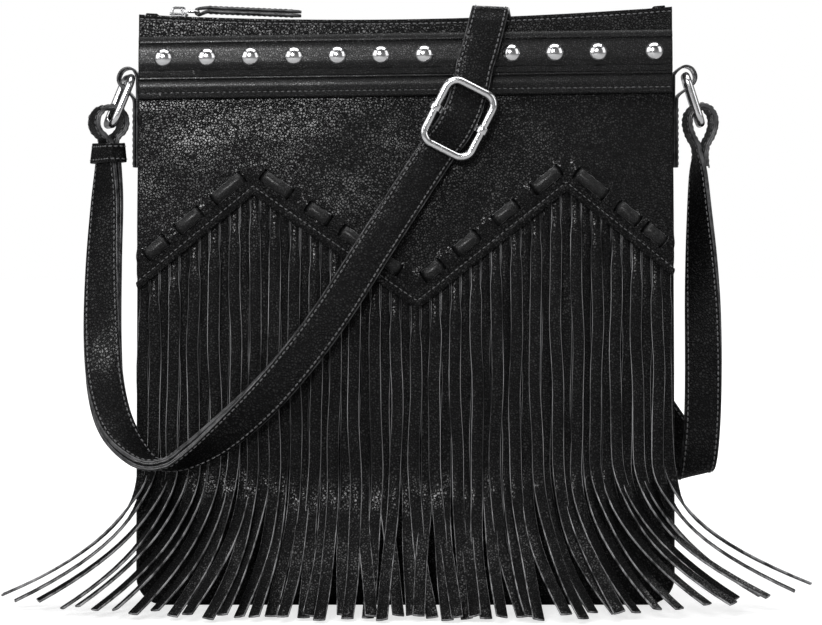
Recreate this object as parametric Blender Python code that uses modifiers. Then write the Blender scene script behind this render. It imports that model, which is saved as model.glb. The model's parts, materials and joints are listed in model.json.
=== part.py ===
"""A fringed leather crossbody bag, modelled as the pieces it is sewn from.

Metres, +Z up. The origin is the middle of the flat base on the floor. The front faces -Y and
the zip runs along X. Every leather piece is an open surface given its thickness by Solidify.
Touching pieces keep a small named gap.
"""

import math

import bmesh
import bpy
import numpy as np
from mathutils import Matrix, Vector

# Fits
GAP = 0.0003  # between pieces that touch

# Body
BODY_WIDTH = 0.2694
BODY_HEIGHT = 0.298
BASE_DEPTH = 0.044
TOP_DEPTH = 0.015
DEPTH_CURVE = 1.6  # how the depth narrows from base to zip
SWELL = 0.003  # how far the filled panels bulge
CORNER_RADIUS = 0.014
SEAM_INSET = 0.0013  # the panels' edges lie inside the gusset's rounded edge
TOP_EDGE_RADIUS = 2.0  # the zip line sags in one long arc
TOP_EDGE_LOW_X = -0.030
TOP_EDGE_SAG = 0.0049
LEAN = 0.002  # the soft body leans: right end up, left end down

# Leather
PANEL = 0.0014
GUSSET = 0.0015
FLANGE = 0.009
LINING = 0.0005
FACING = 0.0010
FACING_DROP = 0.016
LINING_CLEARANCE = 0.0022  # from the panels
LINING_BELOW_TOP = 0.0095

# Front yoke: its zigzag hem as shares of half the width and of the height
HEM_SHARES = [(-0.9955, 0.5309), (-0.5664, 0.6913), (0.0431, 0.4993), (0.5976, 0.6980), (0.9955, 0.5537)]
ZIGZAG_COS = 0.8  # cosine of the hem's slope
YOKE_INSET = 0.0006
LIFT_FULL = 0.016  # the hem stands off the panel up to this far above its edge
LIFT_END = 0.030

# Bands and studs
BAND_INSET = 0.0008
STUD_BAND_BELOW_TOP = 0.0315
STUD_BAND_HEIGHT = 0.0183
STUD_BAND = 0.0024
TRIM_BAND_BELOW_TOP = 0.0425
TRIM_BAND = 0.0016
STUD_COUNT = 12
STUD_FIRST_X = -0.1214
STUD_PITCH = 0.0218
STUD_LAST_X = 0.1248
STUD_BELOW_TOP = 0.0225
STUD_RADIUS = 0.0046
STUD_RISE = 0.0030
STUD_RIM = 0.0004

# Fringe
FRINGE = 0.0011
FRINGE_HALF_WIDTH = 0.1330
STRAND_COUNT = 53
STRAND_CUT = 0.0003
HEADER_ABOVE_HEM = 0.0055
CUT_ABOVE_HEM = 0.0010
LAYER_STEP = 0.0016  # every second strand hangs this far in front of its neighbours
STRAND_OVERLAP = 0.0011  # how much wider than their pitch the strands are below the cut
STRAND_FREE = 0.012  # they separate into their layers over this length
FLARE_HEIGHT = 0.075
FLARE_CURVE = 2.26
FLARE_SIDE = 0.066
FLARE_FRONT = 0.052
STRAND_WAVE = 0.0011
FLOOR_CLEARANCE = 0.0006

# Lace
LACE_WIDTH = 0.0063
LACE = 0.0010
LACE_ABOVE_HEM = 0.0100
LACE_BULGE = 0.0009
LACE_STEP_RUN = 0.0014  # half of the length in which it passes through the yoke
LACE_TURN = 0.007
SLIT_LENGTH = 0.0036
SLIT_WIDTH = 0.0071
# Where the lace shows, as x from and to
LACE_SHOWS = [
    (-0.1293, -0.1198), (-0.1137, -0.1027), (-0.0957, -0.0817), (-0.0712, -0.0577),
    (-0.0487, -0.0383), (-0.0317, -0.0197), (-0.0130, -0.0030), (0.0092, 0.0178),
    (0.0253, 0.0358), (0.0448, 0.0553), (0.0643, 0.0768), (0.0858, 0.0998),
    (0.1063, 0.1163), (0.1198, 0.1290),
]

# Zip
TAPE = 0.0006
TAPE_MARGIN = 0.0085
TAPE_BEND = 0.0018  # size of its bend towards the chain
ZIP_HALF_LENGTH = 0.1250
CHAIN_WIDTH = 0.0050
CHAIN = 0.0009
CHAIN_STEP = 0.0048
CHAIN_BELOW_EDGE = 0.0006
CHAIN_SHORT_LEFT = 0.0080
CHAIN_SHORT_RIGHT = 0.0050
SLIDER_FROM_END = 0.0100
SLIDER_LENGTH = 0.0090
SLIDER_WIDTH = 0.0082
SLIDER_PLATE = 0.0012
BAIL_RADIUS = 0.00065
BAIL_HALF = 0.0034
BAIL_TOP = 0.00505
LINK_RADIUS = 0.0006
LINK_BAR_X = 0.0016
LINK_BAR_Z = 0.00345
LINK_LENGTH = 0.0084
LINK_HALF_WIDTH = 0.0030
PULL_LENGTH = 0.0520
PULL_WIDTH = 0.0100
PULL = 0.0014
ZIP_END_LENGTH = 0.0060
ZIP_END_WIDTH = 0.0090
ZIP_END_HEIGHT = 0.0018

# Rings and their tabs
RING_WIRE = 0.00195
RING_WIDTH = 0.0240  # between the wire's centres
RING_CORNER = 0.005
TAB_WIDTH = 0.0140
TAB = 0.0012
TAB_SLACK = 0.00245  # room for the ring to swing in the fold
TAB_BELOW_TOP = 0.0790
TAB_STRAIGHT_BELOW_TOP = 0.0600
# Each ring: its top wire out from the body and below the top, then the same for its lower wire
RING_LEFT = (0.0056, 0.0338, 0.0156, 0.0572)
RING_LEFT_YAW = 15.0
RING_RIGHT = (0.0071, 0.0328, 0.0147, 0.0567)
RING_RIGHT_YAW = -3.0

# Strap and buckle
STRAP_WIDTH = 0.0186
STRAP = 0.0026
PLY_GAP = 0.0004  # between the two layers of the doubled strap
STRAP_END = 0.0012  # the sewn end is pared thin
KEEPER_HEIGHT = 0.0100
KEEPER = 0.0018
KEEPER_CLEARANCE = 0.0007
KEEPER_BELOW_TOP = 0.0718
BUCKLE_X = 0.0266
BUCKLE_BELOW_TOP = 0.0550
BUCKLE_OFF_MIDDLE = 0.0265
BUCKLE_ANGLE = 27.0
BUCKLE_WIRE = 0.0021
BUCKLE_HALF_ACROSS = 0.0129
BUCKLE_HALF_ALONG = 0.0172
BUCKLE_CORNER = 0.0060
BAR_WIDTH = 0.0036
BAR = 0.0014
BAR_BACK = 0.0030  # how far the centre bar sits behind the frame's plane
EYELET = 0.0006

# Colours: colour, roughness, metallic
BLACK_LEATHER = ((0.012, 0.012, 0.013, 1.0), 0.42, 0.0)
STRAP_LEATHER = ((0.014, 0.014, 0.015, 1.0), 0.45, 0.0)
LINING_CLOTH = ((0.030, 0.030, 0.032, 1.0), 0.85, 0.0)
ZIP_NYLON = ((0.010, 0.010, 0.010, 1.0), 0.70, 0.0)
CHROME = ((0.800, 0.800, 0.820, 1.0), 0.12, 1.0)

HALF_WIDTH = BODY_WIDTH / 2
TOP_EDGE_LOW_Z = BODY_HEIGHT - TOP_EDGE_SAG
ZIGZAG = [(x * HALF_WIDTH, z * BODY_HEIGHT) for x, z in HEM_SHARES]
STUD_BAND_BOTTOM = BODY_HEIGHT - STUD_BAND_BELOW_TOP
TRIM_BAND_BOTTOM = BODY_HEIGHT - TRIM_BAND_BELOW_TOP
STUD_HEIGHT_ON_BAG = BODY_HEIGHT - STUD_BELOW_TOP
SLIDER_X = SLIDER_FROM_END - ZIP_HALF_LENGTH
CHAIN_FROM = CHAIN_SHORT_LEFT - ZIP_HALF_LENGTH
CHAIN_TO = ZIP_HALF_LENGTH - CHAIN_SHORT_RIGHT
TAB_BOTTOM = BODY_HEIGHT - TAB_BELOW_TOP
RING_LEFT_TOP = (-HALF_WIDTH - RING_LEFT[0], 0.0, BODY_HEIGHT - RING_LEFT[1])
RING_LEFT_BOTTOM = (-HALF_WIDTH - RING_LEFT[2], 0.0, BODY_HEIGHT - RING_LEFT[3])
RING_RIGHT_TOP = (HALF_WIDTH + RING_RIGHT[0], 0.0, BODY_HEIGHT - RING_RIGHT[1])
RING_RIGHT_BOTTOM = (HALF_WIDTH + RING_RIGHT[2], 0.0, BODY_HEIGHT - RING_RIGHT[3])
BUCKLE_CENTRE = (BUCKLE_X, -BUCKLE_OFF_MIDDLE, BODY_HEIGHT - BUCKLE_BELOW_TOP)
PANEL_IN = GAP  # offsets of each layer's inner face from the gusset's flange
PANEL_OUT = PANEL_IN + PANEL
YOKE_IN = PANEL_OUT + GAP
YOKE_LIFT = FRINGE + GAP
YOKE_OUT = YOKE_IN + PANEL
BAND_IN = YOKE_OUT + GAP
STRAND_PITCH = 2 * FRINGE_HALF_WIDTH / STRAND_COUNT

TO_FRONT = Vector((0.0, -1.0, 0.0))


# Collections, materials and objects
def collection(name):
    """A new collection in the scene."""
    made = bpy.data.collections.new(name)
    bpy.context.scene.collection.children.link(made)
    return made


def clear_scene():
    """Removes every object of the scene."""
    for old in list(bpy.data.objects):
        bpy.data.objects.remove(old, do_unlink=True)


def material(name, finish):
    """A Principled material with a colour, roughness and metallic value."""
    colour, roughness, metallic = finish
    made = bpy.data.materials.new(name)
    made.use_nodes = True
    shader = made.node_tree.nodes["Principled BSDF"]
    shader.inputs["Base Color"].default_value = colour
    shader.inputs["Roughness"].default_value = roughness
    shader.inputs["Metallic"].default_value = metallic
    made.diffuse_color = colour
    return made


class Bench:
    """Where finished pieces and cutters are put."""

    def __init__(self):
        self.parts = collection("fringed_leather_bag")
        self.cutters = collection("cutters")

    def add(self, name, mesh, finish):
        """Adds one piece with a material of its own."""
        made = bpy.data.objects.new(name, mesh)
        mesh.materials.clear()
        mesh.materials.append(material(name, finish))
        self.parts.objects.link(made)
        return made

    def add_cutter(self, name, mesh):
        """Adds a shape that only cuts or joins others."""
        made = bpy.data.objects.new(name, mesh)
        made.hide_render = True
        made.display_type = "WIRE"
        self.cutters.objects.link(made)
        return made


def grid_mesh(name, rows, closed=False, cap_first=False):
    """A mesh of quads over rows of points. closed joins each row's end to its start."""
    count = len(rows[0])
    points = [point for row in rows for point in row]
    faces = []
    for r in range(len(rows) - 1):
        for c in range(count if closed else count - 1):
            after = (c + 1) % count
            faces.append((r * count + c, r * count + after,
                          (r + 1) * count + after, (r + 1) * count + c))
    if cap_first:
        faces.append(tuple(reversed(range(count))))
    mesh = bpy.data.meshes.new(name)
    mesh.from_pydata(points, [], faces)
    mesh.update()
    return mesh


def face_front(piece):
    """Turns a sheet laid along +X, with its columns going up, so that it faces the front."""
    piece.data.flip_normals()


def thicken(piece, thickness, side=1.0, thin_group=None, thin_share=1.0):
    """Gives an open surface its thickness: side 1 grows along the normals, 0 both ways."""
    solid = piece.modifiers.new("thickness", "SOLIDIFY")
    solid.thickness = thickness
    solid.offset = side
    solid.use_even_offset = True
    solid.use_quality_normals = True
    if thin_group is not None:
        solid.vertex_group = thin_group
        solid.thickness_vertex_group = thin_share
    return solid


def smooth(piece, angle=35.0):
    """Shades a piece smooth except at its sharp edges."""
    piece.data.shade_smooth()
    piece.data.set_sharp_from_angle(angle=math.radians(angle))


def boolean(piece, other, operation):
    """Cuts another object from a piece, or joins it."""
    cut = piece.modifiers.new(operation.lower(), "BOOLEAN")
    cut.operation = operation
    cut.solver = "EXACT"
    cut.object = other


def box_mesh(name, size, at=(0.0, 0.0, 0.0), turn=None, bevel=0.0):
    """A box of a size about a point, with rounded edges if asked."""
    shape = bmesh.new()
    bmesh.ops.create_cube(shape, size=1.0)
    bmesh.ops.scale(shape, vec=size, verts=shape.verts)
    if bevel > 0.0:
        bmesh.ops.bevel(shape, geom=shape.edges[:], offset=bevel, segments=2, affect="EDGES",
                        profile=0.5)
    if turn is not None:
        bmesh.ops.transform(shape, matrix=turn, verts=shape.verts)
    bmesh.ops.translate(shape, vec=at, verts=shape.verts)
    mesh = bpy.data.meshes.new(name)
    shape.to_mesh(mesh)
    shape.free()
    return mesh


def joined_mesh(name, meshes):
    """Several meshes as one, without welding them."""
    shape = bmesh.new()
    for mesh in meshes:
        shape.from_mesh(mesh)
    made = bpy.data.meshes.new(name)
    shape.to_mesh(made)
    shape.free()
    return made


def wire_curve(name, points, radius, closed, sides=2):
    """A round wire along points, as a curve object's data."""
    curve = bpy.data.curves.new(name, "CURVE")
    curve.dimensions = "3D"
    curve.bevel_depth = radius
    curve.bevel_resolution = sides
    curve.use_fill_caps = True
    line = curve.splines.new("POLY")
    line.points.add(len(points) - 1)
    for place, point in zip(line.points, points):
        place.co = (*point, 1.0)
    line.use_cyclic_u = closed
    return curve


def curve_to_mesh(name, curve):
    """The evaluated mesh of a curve, with its caps welded on."""
    holder = bpy.data.objects.new(name + "_curve", curve)
    bpy.context.scene.collection.objects.link(holder)
    graph = bpy.context.evaluated_depsgraph_get()
    mesh = bpy.data.meshes.new_from_object(holder.evaluated_get(graph))
    mesh.name = name
    shape = bmesh.new()
    shape.from_mesh(mesh)
    bmesh.ops.remove_doubles(shape, verts=shape.verts, dist=0.000005)
    shape.to_mesh(mesh)
    shape.free()
    bpy.data.objects.remove(holder, do_unlink=True)
    return mesh


def rounded_rectangle(half_u, half_v, radius, steps=3):
    """Points (u, v) round a rectangle with round corners, anticlockwise."""
    points = []
    corners = [(1, 1, 0.0), (-1, 1, 90.0), (-1, -1, 180.0), (1, -1, 270.0)]
    for side_u, side_v, start in corners:
        for step in range(steps + 1):
            angle = math.radians(start + 90.0 * step / steps)
            points.append((side_u * (half_u - radius) + radius * math.cos(angle),
                           side_v * (half_v - radius) + radius * math.sin(angle)))
    return points


# The body's form
def smoothstep(value):
    """0 to 1 with soft ends."""
    value = min(1.0, max(0.0, value))
    return value * value * (3.0 - 2.0 * value)


def top_z(x):
    """Height of the top edge, an arc that sags."""
    across = x - TOP_EDGE_LOW_X
    return TOP_EDGE_LOW_Z + TOP_EDGE_RADIUS - math.sqrt(TOP_EDGE_RADIUS ** 2 - across ** 2)


def top_slope(x):
    """Angle of the top edge at x."""
    return math.asin((x - TOP_EDGE_LOW_X) / TOP_EDGE_RADIUS)


def leaning(x, z):
    """A height on the leaning body."""
    return z + LEAN * (x / HALF_WIDTH) * (z / BODY_HEIGHT)


def half_depth(z):
    """Half of the gusset's width at a height."""
    share = min(1.0, max(0.0, z / BODY_HEIGHT)) ** DEPTH_CURVE
    return (BASE_DEPTH + (TOP_DEPTH - BASE_DEPTH) * share) / 2


def body_depth(x, z):
    """Distance of the panels' seat from the middle plane, with the swell of a filled bag."""
    across = max(0.0, 1.0 - (x / HALF_WIDTH) ** 2)
    up = math.sin(math.pi * min(1.0, max(0.0, z / BODY_HEIGHT)))
    return half_depth(z) + SWELL * across * up


def front_point(x, z, offset):
    """A point on the front, this far out from the gusset's flange."""
    return Vector((x, -body_depth(x, z) - offset, z))


def back_point(x, z, offset):
    """A point on the back, this far out from the gusset's flange."""
    return Vector((x, body_depth(x, z) + offset, z))


def bottom_z(x, half, radius, lift):
    """Height of a panel's lower edge, with its round corners."""
    over = abs(x) - (half - radius)
    if over <= 0.0:
        return lift
    return lift + radius - math.sqrt(max(0.0, radius ** 2 - over ** 2))


def spread(low, high, count):
    """Evenly spaced values, ends included."""
    return [low + (high - low) * i / (count - 1) for i in range(count)]


def panel_columns(half):
    """Columns of a panel, closer at its round corners."""
    inner = spread(-(half - CORNER_RADIUS), half - CORNER_RADIUS, 8)
    corner = [half - CORNER_RADIUS * (1.0 - math.sin(math.radians(a))) for a in (35, 62, 90)]
    return [-x for x in reversed(corner)] + inner + corner


# Gusset and panels
def gusset_path():
    """Points and outward directions of the strip: down the left, along the base, up the right."""
    top = top_z(-HALF_WIDTH) - GAP
    heights = spread(top, CORNER_RADIUS, 7)
    path = [((-HALF_WIDTH, z), (-1.0, 0.0)) for z in heights]
    for step in (1, 2, 3, 4):
        angle = math.radians(180.0 + 90.0 * step / 4)
        out = (math.cos(angle), math.sin(angle))
        centre = (-HALF_WIDTH + CORNER_RADIUS, CORNER_RADIUS)
        path.append(((centre[0] + CORNER_RADIUS * out[0], centre[1] + CORNER_RADIUS * out[1]), out))
    path.append(((0.0, 0.0), (0.0, -1.0)))
    right = []
    for (x, z), (out_x, out_z) in path[:-1]:
        rise = top_z(HALF_WIDTH) - top_z(-HALF_WIDTH)
        share = max(0.0, (z - CORNER_RADIUS) / (top - CORNER_RADIUS))
        right.append(((-x, z + rise * share), (-out_x, out_z)))
    return path + right[::-1]


def gusset_section(x, z, out_x, out_z):
    """The strip's outer section at one place: flange, round edge, flat side, edge, flange."""
    edge = 0.0025
    turn = edge * (1.0 - math.sqrt(0.5))
    section = []
    for out, inward in ((-FLANGE, 0.0), (-edge, 0.0), (-turn, turn), (0.0, edge)):
        at_z = z + out_z * out
        section.append(Vector((x + out_x * out, -(half_depth(at_z) - inward), at_z)))
    back = [Vector((p.x, -p.y, p.z)) for p in reversed(section)]
    return section + back


def build_gusset(bench):
    """The side and base strip, a channel whose flanges the panels are sewn to."""
    rows = [gusset_section(*at, *out) for at, out in gusset_path()]
    piece = bench.add("gusset", grid_mesh("gusset", rows), BLACK_LEATHER)
    thicken(piece, GUSSET, side=-1.0)
    smooth(piece)


def build_panel(bench, name, point_at):
    """A full panel between the gusset's edges, at the front or the back."""
    half = HALF_WIDTH - SEAM_INSET
    radius = CORNER_RADIUS - SEAM_INSET
    rows = []
    for x in panel_columns(half):
        low = bottom_z(x, half, radius, SEAM_INSET)
        high = top_z(x) - GAP
        rows.append([point_at(x, z, PANEL_IN) for z in spread(low, high, 7)])
    piece = bench.add(name, grid_mesh(name, rows), BLACK_LEATHER)
    if point_at is front_point:
        face_front(piece)
    thicken(piece, PANEL)
    smooth(piece)


def build_lining(bench):
    """The inner bag, an open pouch that hangs from the zip's tapes."""
    corner = CORNER_RADIUS - LINING_CLEARANCE
    rows = []
    heights = [GUSSET + LINING_CLEARANCE / 2] + spread(corner, BODY_HEIGHT - LINING_BELOW_TOP, 7)
    for z in heights:
        deep = half_depth(z) - LINING_CLEARANCE
        wide = HALF_WIDTH - LINING_CLEARANCE - max(0.0, corner - z)
        ring = rounded_rectangle(wide, deep, min(deep * 0.9, GUSSET + LINING_CLEARANCE), steps=2)
        rows.append([Vector((x, y, z)) for x, y in ring])
    mesh = grid_mesh("lining", rows, closed=True, cap_first=True)
    piece = bench.add("lining", mesh, LINING_CLOTH)
    thicken(piece, LINING, side=-1.0)
    smooth(piece)


# Yoke, lace and bands
def hem_z(x):
    """Height of the yoke's zigzag edge."""
    xs = [corner[0] for corner in ZIGZAG]
    zs = [corner[1] for corner in ZIGZAG]
    return float(np.interp(x, xs, zs))


def yoke_lift(x, z):
    """How far the yoke stands off the panel, over the fringe's header."""
    above = (z - hem_z(x)) * ZIGZAG_COS
    return YOKE_LIFT * (1.0 - smoothstep((above - LIFT_FULL) / (LIFT_END - LIFT_FULL)))


def yoke_point(x, z, offset):
    """A point at an offset that follows the yoke's lifted hem."""
    return front_point(x, z, offset + yoke_lift(x, z))


def zigzag_columns(half, between):
    """Columns at the zigzag's corners with even ones between them."""
    corners = [-half] + [corner[0] for corner in ZIGZAG[1:-1]] + [half]
    columns = []
    for low, high in zip(corners, corners[1:]):
        columns += spread(low, high, between + 1)[:-1]
    return columns + [half]


def lace_line(x):
    """Height of the lace's middle, with its corners eased."""
    wide = LACE_TURN / 2
    samples = [hem_z(x + wide * step) for step in (-1.0, -0.5, 0.0, 0.5, 1.0)]
    return sum(samples) / len(samples) + LACE_ABOVE_HEM / ZIGZAG_COS


def slit_places():
    """The x of every slit, one at each end of each stretch that shows."""
    return [x for stretch in LACE_SHOWS for x in stretch]


def lace_direction(x):
    """Unit direction of the lace along the front."""
    step = 0.0005
    rise = lace_line(x + step) - lace_line(x - step)
    return Vector((2 * step, 0.0, rise)).normalized()


def slit_cutters():
    """A thin box through the yoke at each slit."""
    meshes = []
    for x in slit_places():
        z = lace_line(x)
        along = lace_direction(x)
        across = along.cross(TO_FRONT)
        turn = Matrix((along, TO_FRONT, across)).transposed().to_4x4()
        at = yoke_point(x, z, YOKE_IN + PANEL / 2)
        meshes.append(box_mesh("slit", (SLIT_LENGTH, 0.008, SLIT_WIDTH), at, turn))
    return joined_mesh("slits", meshes)


def build_yoke(bench):
    """The upper front: a zigzag hem below, the top edge above, slits for the lace."""
    half = HALF_WIDTH - YOKE_INSET
    rows = []
    for x in zigzag_columns(half, 6):
        hem = hem_z(x)
        heights = [hem + above / ZIGZAG_COS for above in (0.0, 0.006, LIFT_FULL, 0.023, LIFT_END)]
        heights += spread(heights[-1], top_z(x), 5)[1:]
        rows.append([yoke_point(x, z, YOKE_IN) for z in heights])
    piece = bench.add("front_yoke", grid_mesh("front_yoke", rows), BLACK_LEATHER)
    face_front(piece)
    thicken(piece, PANEL)
    boolean(piece, bench.add_cutter("slit_cutters", slit_cutters()), "DIFFERENCE")
    smooth(piece)


def lace_depth(x):
    """Offset of the lace's middle surface: outside where it shows, inside elsewhere."""
    inside = YOKE_IN - GAP - LACE / 2
    outside = YOKE_OUT + GAP + LACE / 2
    share = 0.0
    bulge = 0.0
    for low, high in LACE_SHOWS:
        rise = (x - low + LACE_STEP_RUN) / (2 * LACE_STEP_RUN)
        fall = (high + LACE_STEP_RUN - x) / (2 * LACE_STEP_RUN)
        share = max(share, min(1.0, max(0.0, min(rise, fall))))
        if low < x < high:
            bulge = LACE_BULGE * math.sin(math.pi * (x - low) / (high - low))
    return inside + (outside - inside) * share + bulge


def lace_columns():
    """x of the lace's sections: at each pass through the yoke, and between them."""
    marks = []
    for low, high in LACE_SHOWS:
        for x in (low, high):
            marks += [x - LACE_STEP_RUN, x + LACE_STEP_RUN]
        marks += [low + (high - low) * share for share in (0.3, 0.5, 0.7)]
    for corner in (ZIGZAG[1][0], ZIGZAG[2][0], ZIGZAG[3][0]):
        marks += [corner + LACE_TURN * step for step in (-0.5, -0.2, 0.2, 0.5)]
    ends = [LACE_SHOWS[0][0] - 0.0035, LACE_SHOWS[-1][1] + 0.0030]
    return [ends[0]] + sorted(x for x in marks if ends[0] < x < ends[1]) + [ends[1]]


def build_lace(bench):
    """One flat thong, woven in and out of the yoke's slits."""
    rows = []
    for x in lace_columns():
        z = lace_line(x)
        along = lace_direction(x)
        across = along.cross(TO_FRONT).normalized() * (LACE_WIDTH / 2)
        depth = lace_depth(x)
        row = []
        for side in (-1.0, 1.0):
            edge = Vector((x, 0.0, z)) + across * side
            row.append(yoke_point(edge.x, edge.z, depth))
        rows.append(row)
    piece = bench.add("lace", grid_mesh("lace", rows), BLACK_LEATHER)
    thicken(piece, LACE, side=0.0)
    smooth(piece, 50.0)


def build_band(bench, name, low, high, thickness):
    """A band sewn over the yoke, between two heights."""
    half = HALF_WIDTH - BAND_INSET
    rows = []
    for x in spread(-half, half, 15):
        heights = [leaning(x, z) for z in spread(low, high, 3)]
        rows.append([front_point(x, z, BAND_IN) for z in heights])
    piece = bench.add(name, grid_mesh(name, rows), BLACK_LEATHER)
    face_front(piece)
    thicken(piece, thickness)
    edge = piece.modifiers.new("edge", "BEVEL")
    edge.width = 0.0004
    edge.segments = 1
    edge.limit_method = "ANGLE"
    edge.angle_limit = math.radians(50.0)
    smooth(piece)


def stud_profile():
    """A stud's section from its rim's foot up to the crown, as (radius, height)."""
    points = [(STUD_RADIUS, 0.0), (STUD_RADIUS, STUD_RIM), (STUD_RADIUS * 0.94, STUD_RIM * 1.6)]
    for angle in (28.0, 50.0, 72.0):
        turn = math.radians(angle)
        points.append((STUD_RADIUS * 0.94 * math.cos(turn),
                       STUD_RIM * 1.6 + (STUD_RISE - STUD_RIM * 1.6) * math.sin(turn)))
    return points


def stud_mesh():
    """A dome with a thin rim, flat below, about the origin with its crown along +Z."""
    sides = 12
    rows = []
    for radius, height in stud_profile():
        turns = [2 * math.pi * i / sides for i in range(sides)]
        rows.append([Vector((radius * math.cos(t), radius * math.sin(t), height)) for t in turns])
    mesh = grid_mesh("stud", rows, closed=True, cap_first=True)
    shape = bmesh.new()
    shape.from_mesh(mesh)
    shape.verts.ensure_lookup_table()
    last = [shape.verts[len(shape.verts) - sides + i] for i in range(sides)]
    crown = shape.verts.new((0.0, 0.0, STUD_RISE))
    for i, vert in enumerate(last):
        shape.faces.new((vert, last[(i + 1) % sides], crown))
    shape.to_mesh(mesh)
    shape.free()
    return mesh


def stud_xs():
    """Where the studs sit: an even pitch, and the last one at the band's right end."""
    return [STUD_FIRST_X + STUD_PITCH * i for i in range(STUD_COUNT - 1)] + [STUD_LAST_X]


def build_studs(bench):
    """The row of dome studs on the upper band."""
    shape = stud_mesh()
    offset = BAND_IN + STUD_BAND + GAP
    for number, x in enumerate(stud_xs(), 1):
        z = leaning(x, STUD_HEIGHT_ON_BAG)
        step = 0.002
        up = front_point(x, z + step, offset) - front_point(x, z - step, offset)
        right = front_point(x + step, z, offset) - front_point(x - step, z, offset)
        out = right.cross(up).normalized()
        piece = bench.add(f"stud_{number:02d}", shape.copy(), CHROME)
        piece.location = front_point(x, z, offset)
        piece.rotation_euler = out.to_track_quat("Z", "Y").to_euler()
        smooth(piece)


# Fringe
def strand_frame(x_top, layer, share):
    """Middle and width direction of a strand in the flare: share 0 at its start, 1 at the tip."""
    near_side = min(1.0, abs(x_top) / FRINGE_HALF_WIDTH)
    aside = math.copysign(FLARE_SIDE * near_side ** 3, x_top)
    ahead = FLARE_FRONT * (1.0 - near_side ** 6)
    reach = math.hypot(aside, ahead)
    goal = Vector((aside / reach, -ahead / reach, 0.0))
    heading = TO_FRONT.lerp(goal, smoothstep(share / 0.5)).normalized()
    tip = FLOOR_CLEARANCE + FRINGE / 2 + LAYER_STEP
    z = FLARE_HEIGHT - (FLARE_HEIGHT - tip) * share
    out = reach * share ** FLARE_CURVE
    slope = reach * FLARE_CURVE * share ** (FLARE_CURVE - 1.0) / (FLARE_HEIGHT - tip)
    normal = (heading - Vector((0.0, 0.0, slope))).normalized()
    start = front_point(x_top, FLARE_HEIGHT, PANEL_OUT + GAP + FRINGE / 2)
    middle = Vector((start.x, start.y, z)) + goal * out + normal * (LAYER_STEP * layer)
    wide = Vector((-heading.y, heading.x, 0.0))
    # a strand that turns edge-on to the panel stands off it by half its width
    turned_out = TO_FRONT * (abs(wide.y) * ((STRAND_PITCH + STRAND_OVERLAP) / 2 + 2 * GAP))
    return middle + turned_out, wide


def strand_rows(number, x_top):
    """Left and right edge points down one strand, below its cut."""
    layer = number % 2
    hem = hem_z(x_top)
    seat = PANEL_OUT + GAP + FRINGE / 2
    rows = []
    flat = Vector((1.0, 0.0, 0.0))
    cut_width = STRAND_PITCH - STRAND_CUT
    full_width = STRAND_PITCH + STRAND_OVERLAP
    # strands widen only where their layers have come apart
    for part, out, width in ((1 / 3, 0.1, cut_width), (1.0, 1.0, cut_width), (4 / 3, 1.0, full_width)):
        middle = front_point(x_top, hem - STRAND_FREE * part, seat + LAYER_STEP * layer * out)
        rows.append((middle, flat, 0.0, width))
    halfway = (hem - STRAND_FREE + FLARE_HEIGHT) / 2
    rows.append((front_point(x_top, halfway, seat + LAYER_STEP * layer), flat, 0.8, full_width))
    for share in (0.0, 0.34, 0.67, 1.0):
        middle, wide = strand_frame(x_top, layer, share)
        rows.append((middle, wide, 1.0, full_width))
    points = []
    for middle, wide, loose, width in rows:
        wave = math.sin(number * 2.4 + middle.z * 42.0) * STRAND_WAVE * loose
        middle = middle + wide * wave
        points.append((middle - wide * (width / 2), middle + wide * (width / 2)))
    return points


def build_fringe(bench):
    """One sheet under the yoke's hem, cut into strands that bend out over the floor."""
    pitch = STRAND_PITCH
    width = pitch - STRAND_CUT
    seat = PANEL_OUT + GAP + FRINGE / 2
    points, faces = [], []
    header = []
    for number in range(STRAND_COUNT):
        left = -FRINGE_HALF_WIDTH + number * pitch + STRAND_CUT / 2
        for x in (left, left + width):
            top = front_point(x, hem_z(x) + HEADER_ABOVE_HEM / ZIGZAG_COS, seat)
            cut = front_point(x, hem_z(x) + CUT_ABOVE_HEM / ZIGZAG_COS, seat)
            header.append((len(points), len(points) + 1))
            points += [top, cut]
    for a, b in zip(header, header[1:]):
        faces.append((a[0], a[1], b[1], b[0]))
    for number in range(STRAND_COUNT):
        middle_x = -FRINGE_HALF_WIDTH + (number + 0.5) * pitch
        above = (header[2 * number][1], header[2 * number + 1][1])
        for left, right in strand_rows(number, middle_x):
            below = (len(points), len(points) + 1)
            points += [left, right]
            faces.append((above[0], below[0], below[1], above[1]))
            above = below
    mesh = bpy.data.meshes.new("fringe")
    mesh.from_pydata(points, [], faces)
    mesh.update()
    piece = bench.add("fringe", mesh, BLACK_LEATHER)
    thicken(piece, FRINGE, side=0.0)
    smooth(piece)


# Zip
def build_facings(bench):
    """A folded strip behind each top edge, which the tape is sewn to."""
    for name, point_at in (("zip_facing_front", front_point), ("zip_facing_back", back_point)):
        rows = []
        for x in spread(-ZIP_HALF_LENGTH, ZIP_HALF_LENGTH, 13):
            high = top_z(x) - 2 * GAP
            rows.append([point_at(x, z, 0.0) for z in spread(high - FACING_DROP, high, 3)])
        piece = bench.add(name, grid_mesh(name, rows), BLACK_LEATHER)
        if point_at is front_point:
            face_front(piece)
        thicken(piece, FACING, side=-1.0)
        smooth(piece)


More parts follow.
